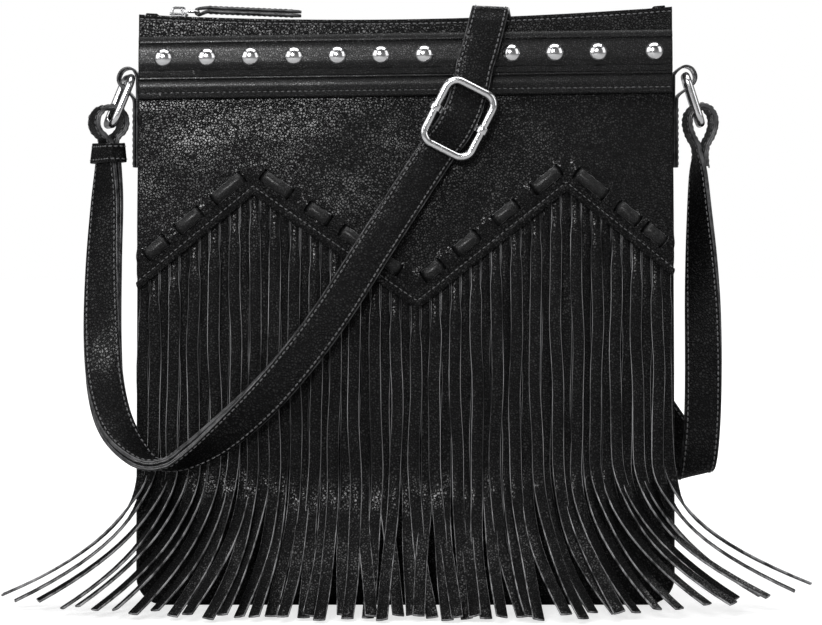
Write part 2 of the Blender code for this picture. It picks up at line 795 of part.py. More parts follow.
def build_tapes(bench):
    """The two woven tapes: sewn margin, bend, and the flat run to the chain."""
    for name, side in (("zip_tape_front", -1.0), ("zip_tape_back", 1.0)):
        rows = []
        for x in spread(-ZIP_HALF_LENGTH, ZIP_HALF_LENGTH, 13):
            high = top_z(x)
            margin = body_depth(x, high - 0.7 * TAPE_MARGIN) - FACING - GAP - TAPE / 2
            bend_z = FACING + CHAIN_BELOW_EDGE
            section = [(margin, -TAPE_MARGIN), (margin, -bend_z - TAPE_BEND), (margin - 0.6 * TAPE_BEND, -bend_z),
                       (GAP, -CHAIN_BELOW_EDGE - TAPE / 2)]
            rows.append([Vector((x, side * deep, high + rise)) for deep, rise in section])
        piece = bench.add(name, grid_mesh(name, rows), ZIP_NYLON)
        thicken(piece, TAPE, side=0.0)
        smooth(piece)


def build_chain(bench):
    """The closed coil chain, a strip that follows the sagging edge."""
    count = int(round((CHAIN_TO - CHAIN_FROM) / CHAIN_STEP))
    rows = []
    for x in spread(CHAIN_FROM, CHAIN_TO, count + 1):
        z = top_z(x) - CHAIN_BELOW_EDGE + GAP + CHAIN / 2
        rows.append([Vector((x, side * CHAIN_WIDTH / 2, z)) for side in (-1.0, 1.0)])
    piece = bench.add("zip_chain", grid_mesh("zip_chain", rows), ZIP_NYLON)
    thicken(piece, CHAIN, side=0.0)


def build_zip_ends(bench):
    """The small folded tabs that close the zip's two ends."""
    offset = ZIP_HALF_LENGTH + GAP + ZIP_END_LENGTH / 2
    for name, side in (("zip_end_left", -1.0), ("zip_end_right", 1.0)):
        x = side * offset
        z = top_z(x) + ZIP_END_HEIGHT / 2 - 0.0004
        size = (ZIP_END_LENGTH, ZIP_END_WIDTH, ZIP_END_HEIGHT)
        turn = Matrix.Rotation(-top_slope(x), 4, "Y")
        mesh = box_mesh(name, size, (x, 0.0, z), turn, bevel=0.0005)
        piece = bench.add(name, mesh, BLACK_LEATHER)
        smooth(piece)


def slider_empty(bench):
    """An empty at the middle of the zip line's arc, which the slider turns about."""
    pivot = bpy.data.objects.new("zip_line_centre", None)
    pivot.location = (TOP_EDGE_LOW_X, 0.0, TOP_EDGE_LOW_Z + TOP_EDGE_RADIUS)
    bench.parts.objects.link(pivot)
    return pivot


def on_zip_line(x):
    """Places a piece made about the origin on the zip line, turned to its slope."""
    turn = Matrix.Rotation(-top_slope(x), 4, "Y")
    return Matrix.Translation((x, 0.0, top_z(x))) @ turn


def build_slider(bench, pivot):
    """The slider: a plate with side flanges over the chain and a bail on top."""
    low = 0.00115
    plate = box_mesh("plate", (SLIDER_LENGTH, SLIDER_WIDTH, SLIDER_PLATE),
                     (0.0, 0.0, low + SLIDER_PLATE / 2), bevel=0.0004)
    piece = bench.add("zip_slider", plate, CHROME)
    flange_size = (SLIDER_LENGTH * 0.82, 0.0008, 0.0020)
    for number, side in enumerate((-1.0, 1.0)):
        at = (0.0, side * (SLIDER_WIDTH / 2 - 0.0006), low - 0.0003)
        wall = bench.add_cutter(f"slider_flange_{number}", box_mesh("flange", flange_size, at))
        boolean(piece, wall, "UNION")
    arch = [(-BAIL_HALF, 0.0, low + 0.0004), (-BAIL_HALF, 0.0, BAIL_TOP - 0.0014),
            (-BAIL_HALF + 0.0005, 0.0, BAIL_TOP - 0.0004), (-BAIL_HALF + 0.0015, 0.0, BAIL_TOP),
            (BAIL_HALF - 0.0015, 0.0, BAIL_TOP), (BAIL_HALF - 0.0005, 0.0, BAIL_TOP - 0.0004),
            (BAIL_HALF, 0.0, BAIL_TOP - 0.0014), (BAIL_HALF, 0.0, low + 0.0004)]
    bail = curve_to_mesh("bail", wire_curve("bail", arch, BAIL_RADIUS, False))
    boolean(piece, bench.add_cutter("slider_bail", bail), "UNION")
    place = on_zip_line(SLIDER_X)
    for made in [piece] + [m.object for m in piece.modifiers if m.type == "BOOLEAN"]:
        made.matrix_world = place
    piece.parent = pivot
    piece.matrix_parent_inverse = Matrix.Translation(pivot.location).inverted()


def ribbon_rows(centres, wides, widths):
    """Left and right edge points along a ribbon."""
    rows = []
    for i, centre in enumerate(centres):
        before = centres[max(0, i - 1)]
        after = centres[min(len(centres) - 1, i + 1)]
        along = (after - before).normalized()
        wide = wides[i] - along * wides[i].dot(along)
        wide = wide.normalized() * (widths[i] / 2)
        rows.append([centre - wide, centre + wide])
    return rows


def build_pull(bench, pivot):
    """The wire link in the slider's bail, and the leather pull folded round it."""
    place = on_zip_line(SLIDER_X) @ Matrix.Translation((LINK_BAR_X, 0.0, LINK_BAR_Z))
    hinge = bpy.data.objects.new("zip_pull_hinge", None)
    hinge.matrix_world = place
    bench.parts.objects.link(hinge)
    half = LINK_LENGTH / 2
    outline = rounded_rectangle(half, LINK_HALF_WIDTH, 0.0012, steps=2)
    points = [(u + half, v, 0.0) for u, v in outline]
    link = curve_to_mesh("zip_pull_link", wire_curve("link", points, LINK_RADIUS, True))
    piece = bench.add("zip_pull_link", link, CHROME)
    piece.parent = hinge
    smooth(piece)

    fold = LINK_RADIUS + GAP + PULL / 2
    ply = PULL + 2 * GAP
    end = LINK_LENGTH + PULL_LENGTH
    middle = 0.0012
    low, high = middle - ply / 2, middle + ply / 2
    side = [(end, 0.35), (end - 0.0016, 0.80), (end - 0.0042, 1.0), (LINK_LENGTH + 0.030, 1.0),
            (LINK_LENGTH + 0.012, 1.0), (LINK_LENGTH + 0.0055, 0.95)]
    centres = [Vector((x, 0.0, low)) for x, _ in side]
    widths = [PULL_WIDTH * share for _, share in side]
    for angle in (270.0, 225.0, 180.0, 135.0, 90.0):
        turn = math.radians(angle)
        centres.append(Vector((LINK_LENGTH + fold * math.cos(turn), 0.0, fold * math.sin(turn))))
        widths.append(PULL_WIDTH * 0.46)
    centres += [Vector((x, 0.0, high)) for x, _ in reversed(side)]
    widths += [PULL_WIDTH * share for _, share in reversed(side)]
    wides = [Vector((0.0, 1.0, 0.0))] * len(centres)
    mesh = grid_mesh("zip_pull_tab", ribbon_rows(centres, wides, widths))
    piece = bench.add("zip_pull_tab", mesh, STRAP_LEATHER)
    piece.parent = hinge
    thicken(piece, PULL, side=0.0)
    smooth(piece)
    hinge.parent = pivot
    hinge.matrix_parent_inverse = Matrix.Translation(pivot.location).inverted()


# Rings and tabs
def yaw_direction(degrees):
    """Direction of a ring's cross wires, front to back."""
    return Vector((-math.sin(math.radians(degrees)), math.cos(math.radians(degrees)), 0.0))


def build_ring(bench, name, top, bottom, yaw):
    """A rounded rectangular ring; its origin lies on the top wire, where it hinges."""
    top, bottom = Vector(top), Vector(bottom)
    wide = yaw_direction(yaw)
    down = bottom - top
    half = down.length / 2
    down = (down - wide * down.dot(wide)).normalized()
    outline = rounded_rectangle(RING_WIDTH / 2, half, RING_CORNER)
    points = [wide * u + down * (v + half) for u, v in outline]
    mesh = curve_to_mesh(name, wire_curve(name, points, RING_WIRE, True))
    piece = bench.add(name, mesh, CHROME)
    piece.location = top
    smooth(piece)


def build_ring_tab(bench, name, side, ring_top):
    """A leather tab sewn to the gusset, folded round the ring's top wire."""
    inner = HALF_WIDTH + GAP + TAB / 2
    outer = inner + TAB + GAP
    ring_x, ring_z = abs(ring_top[0]), ring_top[2]
    middle = BODY_HEIGHT - TAB_STRAIGHT_BELOW_TOP
    # the fold round the wire: from the ring's middle, as parts of its reach
    reach = RING_WIRE + TAB / 2 + TAB_SLACK
    fold = [(-0.56, 0.80), (0.0, 1.02), (0.64, 0.76), (1.0, 0.0), (0.80, -0.72), (0.12, -1.28)]
    route = [(inner, TAB_BOTTOM), (inner, middle), (inner, ring_z - 0.6 * reach),
             (inner + GAP, ring_z + 0.2 * reach)]
    route += [(ring_x + u * reach, ring_z + v * reach) for u, v in fold]
    route += [(outer + 0.16 * reach, ring_z - 2.0 * reach), (outer, ring_z - 2.8 * reach),
              (outer, middle), (outer, TAB_BOTTOM)]
    centres = [Vector((side * x, 0.0, z)) for x, z in route]
    wides = [Vector((0.0, 1.0, 0.0))] * len(centres)
    rows = ribbon_rows(centres, wides, [TAB_WIDTH] * len(centres))
    piece = bench.add(name, grid_mesh(name, rows), STRAP_LEATHER)
    thicken(piece, TAB, side=0.0)
    smooth(piece)


# Strap
def on_body(x, y, z):
    """A route point, drawn for a body of ROUTE_BODY, carried to this body's size."""
    width, depth, height = ROUTE_BODY
    return Vector((x * BODY_WIDTH / width, y * BASE_DEPTH / depth, z * BODY_HEIGHT / height))


def twisted(along, degrees):
    """Width direction of the strap: 0 is flat on the front, 90 edge-on, 180 turned over."""
    flat = Vector((along.z, 0.0, -along.x)).normalized()
    turn = math.radians(degrees)
    return flat * math.cos(turn) + TO_FRONT * math.sin(turn)


ROUTE_BODY = (269.4, 44.0, 298.0)  # the routes are drawn on a body this wide, deep and high

# The doubled stretch from the buckle round the lower left to the left ring, chosen by hand:
# middle of the two layers, and the twist
DOUBLE_ROUTE = [
    (16.0, -21.6, 227.3, 0.0), (6.2, -23.6, 212.5, 0.0), (-14.2, -29.4, 181.0, 0.0),
    (-39.0, -30.4, 142.5, 0.0), (-65.0, -31.6, 110.0, 8.0), (-89.5, -35.2, 87.5, 32.0),
    (-107.5, -38.4, 76.0, 60.0), (-119.5, -39.8, 72.0, 82.0), (-130.5, -39.0, 75.0, 106.0),
    (-142.5, -33.5, 89.0, 140.0), (-149.0, -26.0, 108.0, 164.0), (-151.6, -18.5, 134.0, 186.0),
    (-151.8, -12.0, 168.0, 204.0), (-150.9, -5.4, 200.0, 218.0), (-150.5, -3.0, 218.0, 232.0),
    (-150.3, -2.9, 231.7, 244.0),
]
# Half of an open loop over a ring: away from its middle, and above the ring's lower wire
LEFT_LOOP = [(2.9, -6.6), (6.0, -3.8), (7.5, 0.2), (7.1, 4.0), (4.7, 7.2), (0.0, 8.8)]
LEFT_LOOP_TWIST = 250.0
RIGHT_LOOP = [(1.5, -15.3), (2.1, -11.3), (4.8, -6.7), (6.6, -0.8), (6.0, 4.5), (3.6, 7.9), (0.0, 9.2)]
LOOP_DRAWN = 24.0  # the loops are drawn for a ring this wide
TAIL_DROP = 0.0218  # the sewn tail ends this far below the ring's lower wire
# From the right ring down, back and up behind the bag and over the zip: middle, width direction
SINGLE_ROUTE = [
    (148.3, -0.8, 216.0, -0.32, 0.95, 0.0), (148.9, -1.6, 195.0, -0.55, 0.83, 0.0),
    (149.8, -3.0, 168.0, -0.80, 0.60, 0.0), (150.4, -4.0, 142.0, -0.95, 0.30, 0.0),
    (150.6, -4.0, 116.0, -0.99, 0.12, 0.0), (150.2, -3.4, 93.0, -1.0, 0.0, 0.0),
    (149.2, -1.6, 76.0, -1.0, 0.0, -0.10), (148.0, 2.4, 66.2, -0.98, 0.0, -0.20),
    (146.9, 9.4, 63.0, -0.97, 0.0, -0.25), (146.0, 18.2, 66.5, -0.96, 0.0, -0.28),
    (142.4, 25.4, 76.5, -0.92, 0.0, -0.38), (131.6, 28.2, 93.0, -0.85, 0.0, -0.52),
    (113.0, 27.8, 120.0, -0.85, 0.0, -0.52), (93.0, 25.2, 155.0, -0.90, 0.0, -0.44),
    (76.0, 22.0, 195.0, -0.94, 0.0, -0.35), (60.5, 18.6, 245.0, -0.955, 0.0, -0.29),
    (49.0, 15.8, 280.0, -0.955, 0.0, -0.29), (45.8, 14.0, 291.0, -0.95, 0.0, -0.29),
    (44.0, 8.6, 297.6, -0.99, 0.10, -0.10), (43.4, 0.0, 298.7, -1.0, 0.0, 0.0),
    (42.8, -9.8, 298.8, -0.995, 0.0, 0.06), (41.8, -15.9, 295.0, -0.98, 0.0, 0.16),
    (39.8, -19.4, 287.6, -0.965, 0.0, 0.26), (37.2, -20.9, 278.0, -0.955, 0.0, 0.30),
    (34.6, -21.8, 269.5, -0.95, 0.0, 0.31),
]
# Through the buckle, along its axis, across it and out of its plane, for a strap STRAP_DRAWN thick
STRAP_DRAWN = 2.6
OVER_BAR = [(19.2, -2.6, -4.0), (15.2, -1.8, -3.8), (10.2, -0.8, -1.9), (5.4, -0.1, 0.4),
            (0.0, 0.0, 1.1), (-5.2, 0.0, 0.3), (-10.2, -0.7, -2.0), (-15.2, -1.9, -3.8)]
ROUND_BAR = [(-15.2, -1.9, -6.8), (-10.2, -0.7, -6.4), (-5.4, -0.1, -5.7), (-1.0, 0.0, -5.4),
             (2.4, 0.0, -5.1), (4.2, 0.0, -3.7), (3.4, 0.0, -2.0), (1.0, 0.0, -1.45),
             (-2.0, 0.0, -1.55), (-4.4, 0.0, -2.3)]
PARED_FROM = 4  # the sewn end is thinner from here on
PARED_EACH = 0.27
ROUTE_STEP = 0.009
LOOP_STEP = 0.0042


def buckle_axes():
    """The buckle's centre, its axis along the strap, across it, and out to the front."""
    turn = math.radians(BUCKLE_ANGLE)
    along = Vector((math.sin(turn), 0.0, math.cos(turn)))
    across = Vector((math.cos(turn), 0.0, -math.sin(turn)))
    return Vector(BUCKLE_CENTRE), along, across, TO_FRONT.copy()


def in_buckle(route):
    """Places buckle route points in space, each with the strap's width direction."""
    centre, along, across, out = buckle_axes()
    placed = []
    for u, c, h in route:
        at = centre + (along * u + across * c + out * h) * (STRAP / STRAP_DRAWN)
        placed.append((at, -across))
    return placed


def eased(stations, step):
    """Points and directions of a smooth line through stations, about a step apart."""
    smooth_line = []
    for i in range(len(stations) - 1):
        quad = [stations[max(0, i - 1)], stations[i], stations[i + 1],
                stations[min(len(stations) - 1, i + 2)]]
        span = (quad[2][0] - quad[1][0]).length
        count = max(1, int(round(span / step)))
        for k in range(count):
            t = k / count
            weights = (-0.5 * t + t * t - 0.5 * t ** 3, 1 - 2.5 * t * t + 1.5 * t ** 3,
                       0.5 * t + 2 * t * t - 1.5 * t ** 3, -0.5 * t * t + 0.5 * t ** 3)
            smooth_line.append(tuple(
                sum((q[part] * weight for q, weight in zip(quad, weights)), Vector())
                for part in (0, 1)))
    smooth_line.append(stations[-1])
    return smooth_line


def double_middle():
    """The doubled stretch's middle line with the width and outward directions."""
    points = [on_body(x, y, z) for x, y, z, _ in DOUBLE_ROUTE]
    framed = []
    for i, point in enumerate(points):
        along = (points[min(len(points) - 1, i + 1)] - points[max(0, i - 1)]).normalized()
        wide = twisted(along, DOUBLE_ROUTE[i][3])
        wide = (wide - along * wide.dot(along)).normalized()
        framed.append((point, wide))
    line = eased(framed, ROUTE_STEP)
    offsets = []
    for i, (point, wide) in enumerate(line):
        along = (line[min(len(line) - 1, i + 1)][0] - line[max(0, i - 1)][0]).normalized()
        out = wide.cross(along).normalized()
        offsets.append((point, wide.normalized(), out))
    return offsets


def loop_stations(middle, ring_z, wide, out, half_loop):
    """An open loop over a ring: stations up one side, over the top and down the other."""
    base = Vector((middle.x, middle.y, ring_z))
    level = Vector((out.x, out.y, 0.0)).normalized()
    unit = RING_WIDTH / LOOP_DRAWN
    steps = half_loop + [(-n, z) for n, z in reversed(half_loop[:-1])]
    line = [(base + (level * n + Vector((0.0, 0.0, z))) * unit, wide) for n, z in steps]
    return eased(line, LOOP_STEP)


def strap_stations():
    """Every station of the strap, with the share of its full thickness there."""
    stations = []
    right_wide = Vector((-0.08, 1.0, 0.0)).normalized()
    right_out = Vector((1.0, 0.08, 0.0)).normalized()
    hub = Vector(RING_RIGHT_BOTTOM)
    down = Vector((0.0, 0.0, -TAIL_DROP))
    tail = [(hub + right_out * (STRAP * 0.73) + down, right_wide)]
    over_right = loop_stations(hub, hub.z, right_wide, right_out, RIGHT_LOOP)
    single = [(on_body(x, y, z), Vector((a, b, c)).normalized()) for x, y, z, a, b, c in SINGLE_ROUTE]
    rest = eased(over_right[-1:] + single + in_buckle(OVER_BAR), ROUTE_STEP)
    first = tail + over_right[:-1] + rest

    middle = double_middle()
    shift = (STRAP + PLY_GAP) / 2
    outer = [(point + out * shift, wide) for point, wide, out in middle]
    inner = [(point - out * shift, wide) for point, wide, out in reversed(middle)]
    loop_wide = twisted(Vector((0.0, 0.0, 1.0)), LEFT_LOOP_TWIST)
    loop_out = loop_wide.cross(Vector((0.0, 0.0, 1.0)))
    over_left = loop_stations(middle[-1][0], RING_LEFT_BOTTOM[2], loop_wide, loop_out, LEFT_LOOP)
    bar = in_buckle(ROUND_BAR)
    stations = [(point, wide, 1.0) for point, wide in first + outer + over_left + inner]
    pared = STRAP_END / STRAP
    for number, (point, wide) in enumerate(bar):
        over = max(0, number - PARED_FROM + 1)
        stations.append((point, wide, max(pared, 1.0 - PARED_EACH * over)))
    return stations


def build_strap(bench):
    """The whole strap: right ring, behind the bag, buckle, left ring and back to the buckle."""
    stations = strap_stations()
    centres = [station[0] for station in stations]
    wides = [station[1] for station in stations]
    rows = ribbon_rows(centres, wides, [STRAP_WIDTH] * len(centres))
    piece = bench.add("strap", grid_mesh("strap", rows), STRAP_LEATHER)
    group = piece.vertex_groups.new(name="full_thickness")
    for number, (_, _, share) in enumerate(stations):
        group.add([2 * number, 2 * number + 1], share, "REPLACE")
    thicken(piece, STRAP, side=0.0, thin_group=group.name, thin_share=0.0)
    smooth(piece)


def middle_at(line, height):
    """The doubled stretch's middle and directions at a height, on its rising side."""
    for below, above in zip(line, line[1:]):
        if below[0].x < -HALF_WIDTH and below[0].z <= height <= above[0].z:
            share = (height - below[0].z) / (above[0].z - below[0].z)
            return [low.lerp(high, share) for low, high in zip(below, above)]
    return line[-1]


def build_keeper(bench):
    """The leather band that holds the two layers together below the left ring."""
    line = double_middle()
    half_wide = STRAP_WIDTH / 2 + KEEPER_CLEARANCE
    half_out = STRAP + PLY_GAP / 2 + KEEPER_CLEARANCE
    outline = rounded_rectangle(half_wide, half_out, 0.0010, steps=2)[::-1]
    rows = []
    for step in (-0.5, 0.0, 0.5):
        point, wide, out = middle_at(line, BODY_HEIGHT - KEEPER_BELOW_TOP + KEEPER_HEIGHT * step)
        rows.append([point + wide * u + out * v for u, v in outline])
    piece = bench.add("strap_keeper", grid_mesh("strap_keeper", rows, closed=True), STRAP_LEATHER)
    thicken(piece, KEEPER)
    smooth(piece)


def build_buckle(bench):
    """The slide buckle: a bent wire frame and a flat centre bar with eyelets round its sides."""
    centre, along, across, out = buckle_axes()
    outline = rounded_rectangle(BUCKLE_HALF_ACROSS, BUCKLE_HALF_ALONG, BUCKLE_CORNER, steps=4)
    points = [across * u + along * v for u, v in outline]
    frame = curve_to_mesh("buckle_frame", wire_curve("frame", points, BUCKLE_WIRE, True))
    piece = bench.add("buckle_frame", frame, CHROME)
    piece.location = centre
    smooth(piece)

    turn = Matrix((across, out, along)).transposed().to_4x4()
    bore = BUCKLE_WIRE + GAP
    flat = box_mesh("bar", (2 * (BUCKLE_HALF_ACROSS - 0.0009), BAR, BAR_WIDTH), (0.0, -BAR_BACK, 0.0))
    bar = bench.add("buckle_bar", flat, CHROME)
    bar.matrix_world = Matrix.Translation(centre) @ turn
    for number, side in enumerate((-1.0, 1.0)):
        rows = []
        for radius, height in ((bore + EYELET, -0.5), (bore + EYELET, 0.5), (bore, 0.5), (bore, -0.5)):
            angles = [2 * math.pi * i / 16 for i in range(16)]
            rows.append([Vector((side * BUCKLE_HALF_ACROSS + radius * math.cos(a),
                                 radius * math.sin(a), height * BAR_WIDTH)) for a in angles])
        rows.append(rows[0])
        mesh = grid_mesh("eyelet", rows, closed=True)
        shape = bmesh.new()
        shape.from_mesh(mesh)
        bmesh.ops.remove_doubles(shape, verts=shape.verts, dist=0.00001)
        shape.to_mesh(mesh)
        shape.free()
        eyelet = bench.add_cutter(f"bar_eyelet_{number}", mesh)
        eyelet.matrix_world = bar.matrix_world
        boolean(bar, eyelet, "UNION")


def main():
    """Builds every piece of the bag."""
    clear_scene()
    bench = Bench()
    build_gusset(bench)
    build_panel(bench, "front_panel", front_point)
    build_panel(bench, "back_panel", back_point)
    build_lining(bench)
    build_yoke(bench)
    build_lace(bench)
    build_band(bench, "stud_band", STUD_BAND_BOTTOM, STUD_BAND_BOTTOM + STUD_BAND_HEIGHT, STUD_BAND)
    build_band(bench, "trim_band", TRIM_BAND_BOTTOM, STUD_BAND_BOTTOM - GAP, TRIM_BAND)
    build_studs(bench)
    build_fringe(bench)
    build_facings(bench)
    build_tapes(bench)
    build_chain(bench)
    build_zip_ends(bench)
    pivot = slider_empty(bench)
    build_slider(bench, pivot)
    build_pull(bench, pivot)
    build_ring(bench, "ring_left", RING_LEFT_TOP, RING_LEFT_BOTTOM, RING_LEFT_YAW)
    build_ring(bench, "ring_right", RING_RIGHT_TOP, RING_RIGHT_BOTTOM, RING_RIGHT_YAW)
    build_ring_tab(bench, "ring_tab_left", -1.0, RING_LEFT_TOP)
    build_ring_tab(bench, "ring_tab_right", 1.0, RING_RIGHT_TOP)
    build_strap(bench)
    build_keeper(bench)
    build_buckle(bench)


main()
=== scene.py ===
"""Dresses the fringed leather crossbody bag: grained leather, cut fringe, stitching and chrome.

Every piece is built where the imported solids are, in metres, with +Z up and the front facing -Y.
"""

import json
import logging
import math
import random
from dataclasses import dataclass
from enum import Enum
from typing import Callable, Iterable, Sequence

import bmesh
import bpy
from mathutils import Matrix, Vector, noise

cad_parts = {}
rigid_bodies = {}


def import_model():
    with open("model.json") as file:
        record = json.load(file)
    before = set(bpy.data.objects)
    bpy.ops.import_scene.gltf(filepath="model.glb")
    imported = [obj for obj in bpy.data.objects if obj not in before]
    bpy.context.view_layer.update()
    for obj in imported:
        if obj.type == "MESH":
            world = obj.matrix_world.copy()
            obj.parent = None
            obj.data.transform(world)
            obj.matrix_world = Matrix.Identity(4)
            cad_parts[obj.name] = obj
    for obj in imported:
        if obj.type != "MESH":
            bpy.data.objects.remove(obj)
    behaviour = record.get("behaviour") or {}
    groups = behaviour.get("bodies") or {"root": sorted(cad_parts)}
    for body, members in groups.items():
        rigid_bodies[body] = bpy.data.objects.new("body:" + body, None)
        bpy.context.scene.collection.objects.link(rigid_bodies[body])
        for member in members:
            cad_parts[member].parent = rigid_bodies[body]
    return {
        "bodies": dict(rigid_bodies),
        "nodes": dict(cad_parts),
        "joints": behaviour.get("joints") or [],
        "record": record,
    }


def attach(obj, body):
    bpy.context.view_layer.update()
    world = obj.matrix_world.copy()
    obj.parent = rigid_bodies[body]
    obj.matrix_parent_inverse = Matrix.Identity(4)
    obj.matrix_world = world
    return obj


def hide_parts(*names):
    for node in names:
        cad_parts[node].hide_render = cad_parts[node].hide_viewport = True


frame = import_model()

logging.basicConfig(level=logging.INFO, format="%(message)s")
LOG = logging.getLogger("bag")

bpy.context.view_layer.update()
GAP = 0.0003
TO_FRONT = Vector((0.0, -1.0, 0.0))
UP = Vector((0.0, 0.0, 1.0))

Colour = tuple[float, float, float, float]
Row = list[Vector]


# Numbers and curves
def smoothstep(value: float) -> float:
    """Eases a share from 0 to 1 with soft ends."""
    value = min(1.0, max(0.0, value))
    return value * value * (3.0 - 2.0 * value)


def spread(low: float, high: float, count: int) -> list[float]:
    """Evenly spaced values with both ends included."""
    return [low + (high - low) * i / (count - 1) for i in range(count)]


def run_at(line: Sequence[Vector], i: int) -> Vector:
    """The unit direction of a line of points at point i."""
    return (line[min(len(line) - 1, i + 1)] - line[max(0, i - 1)]).normalized()


def between(xs: Sequence[float], ys: Sequence[float], x: float) -> float:
    """Reads a broken line at x.

    Args:
        xs: Rising places of the line's corners.
        ys: Values at the corners.
        x: Where to read it.

    Returns:
        The value on the line, held level beyond its ends.
    """
    if x <= xs[0]:
        return ys[0]
    for x0, x1, y0, y1 in zip(xs, xs[1:], ys, ys[1:]):
        if x <= x1:
            return y0 + (y1 - y0) * (x - x0) / (x1 - x0)
    return ys[-1]


def eased(stations: Sequence[tuple], step: float) -> list[tuple]:
    """Runs a smooth line through stations of one or more vectors.

    Args:
        stations: Tuples of vectors, the first of them the place.
        step: Wanted distance between the line's points.

    Returns:
        Tuples like the stations, about a step apart.
    """
    line = []
    for i in range(len(stations) - 1):
        quad = [stations[max(0, i - 1)], stations[i], stations[i + 1],
                stations[min(len(stations) - 1, i + 2)]]
        count = max(1, int(round((quad[2][0] - quad[1][0]).length / step)))
        for k in range(count):
            t = k / count
            weights = (-0.5 * t + t * t - 0.5 * t ** 3, 1 - 2.5 * t * t + 1.5 * t ** 3,
                       0.5 * t + 2 * t * t - 1.5 * t ** 3, -0.5 * t * t + 0.5 * t ** 3)
            line.append(tuple(sum((q[part] * w for q, w in zip(quad, weights)), Vector())
                              for part in range(len(quad[0]))))
    line.append(tuple(stations[-1]))
    return line


def rounded_rectangle(half_u: float, half_v: float, radius: float, steps: int = 6) -> list[tuple]:
    """Points round a rectangle with round corners, anticlockwise.

    Args:
        half_u: Half of its width.
        half_v: Half of its height.
        radius: Radius of its corners.
        steps: Steps round each corner.

    Returns:
        Pairs of coordinates.
    """
    points = []
    for side_u, side_v, start in ((1, 1, 0.0), (-1, 1, 90.0), (-1, -1, 180.0), (1, -1, 270.0)):
        for step in range(steps + 1):
            angle = math.radians(start + 90.0 * step / steps)
            points.append((side_u * (half_u - radius) + radius * math.cos(angle),
                           side_v * (half_v - radius) + radius * math.sin(angle)))
    return points


# The bag's form
@dataclass(frozen=True)
class BagForm:
    """The filled body: its outline, its depth and how it leans."""

    half_width: float = 0.1347
    height: float = 0.298
    base_depth: float = 0.044
    top_depth: float = 0.015
    depth_curve: float = 1.6
    swell: float = 0.003
    corner: float = 0.014
    arc_radius: float = 2.0
    arc_low_x: float = -0.030
    arc_low_z: float = 0.2931
    lean: float = 0.002

    def top_z(self, x: float) -> float:
        """Height of the sagging top edge at x."""
        across = x - self.arc_low_x
        return self.arc_low_z + self.arc_radius - math.sqrt(self.arc_radius ** 2 - across ** 2)

    def top_slope(self, x: float) -> float:
        """Angle of the top edge at x."""
        return math.asin((x - self.arc_low_x) / self.arc_radius)

    def leaning(self, x: float, z: float) -> float:
        """A nominal height on the leaning body."""
        return z + self.lean * (x / self.half_width) * (z / self.height)

    def half_depth(self, z: float) -> float:
        """Half of the gusset's width at a height."""
        share = min(1.0, max(0.0, z / self.height)) ** self.depth_curve
        return (self.base_depth + (self.top_depth - self.base_depth) * share) / 2

    def depth(self, x: float, z: float) -> float:
        """Distance of the panels' seat from the middle plane.

        Args:
            x: Place across the bag.
            z: Height.

        Returns:
            The distance.
        """
        across = max(0.0, 1.0 - (x / self.half_width) ** 2)
        up = math.sin(math.pi * min(1.0, max(0.0, z / self.height)))
        return self.half_depth(z) + self.swell * across * up

    def front(self, x: float, z: float, offset: float) -> Vector:
        """A point on the front, this far out from the gusset's flange."""
        return Vector((x, -self.depth(x, z) - offset, z))

    def back(self, x: float, z: float, offset: float) -> Vector:
        """A point on the back, this far out from the gusset's flange."""
        return Vector((x, self.depth(x, z) + offset, z))

    def bottom_z(self, x: float, half: float, radius: float, lift: float) -> float:
        """Height of a panel's lower edge with its round corners.

        Args:
            x: Place across the bag.
            half: Half of the panel's width.
            radius: Radius of its corners.
            lift: Height of its middle.

        Returns:
            The height.
        """
        over = abs(x) - (half - radius)
        if over <= 0.0:
            return lift
        return lift + radius - math.sqrt(max(0.0, radius ** 2 - over ** 2))


@dataclass(frozen=True)
class Layers:
    """How far each layer's inner face stands out from the gusset's flange."""

    leather: float = 0.0014
    fringe: float = 0.0011

    @property
    def panel(self) -> float:
        """Inner face of the panels."""
        return GAP

    @property
    def over_panel(self) -> float:
        """Inner face of what lies on the front panel."""
        return GAP + self.leather + GAP

    @property
    def lift(self) -> float:
        """How far the yoke's hem is lifted by the fringe's header."""
        return self.fringe + GAP

    @property
    def over_yoke(self) -> float:
        """Inner face of what lies on the yoke."""
        return self.over_panel + self.leather + GAP


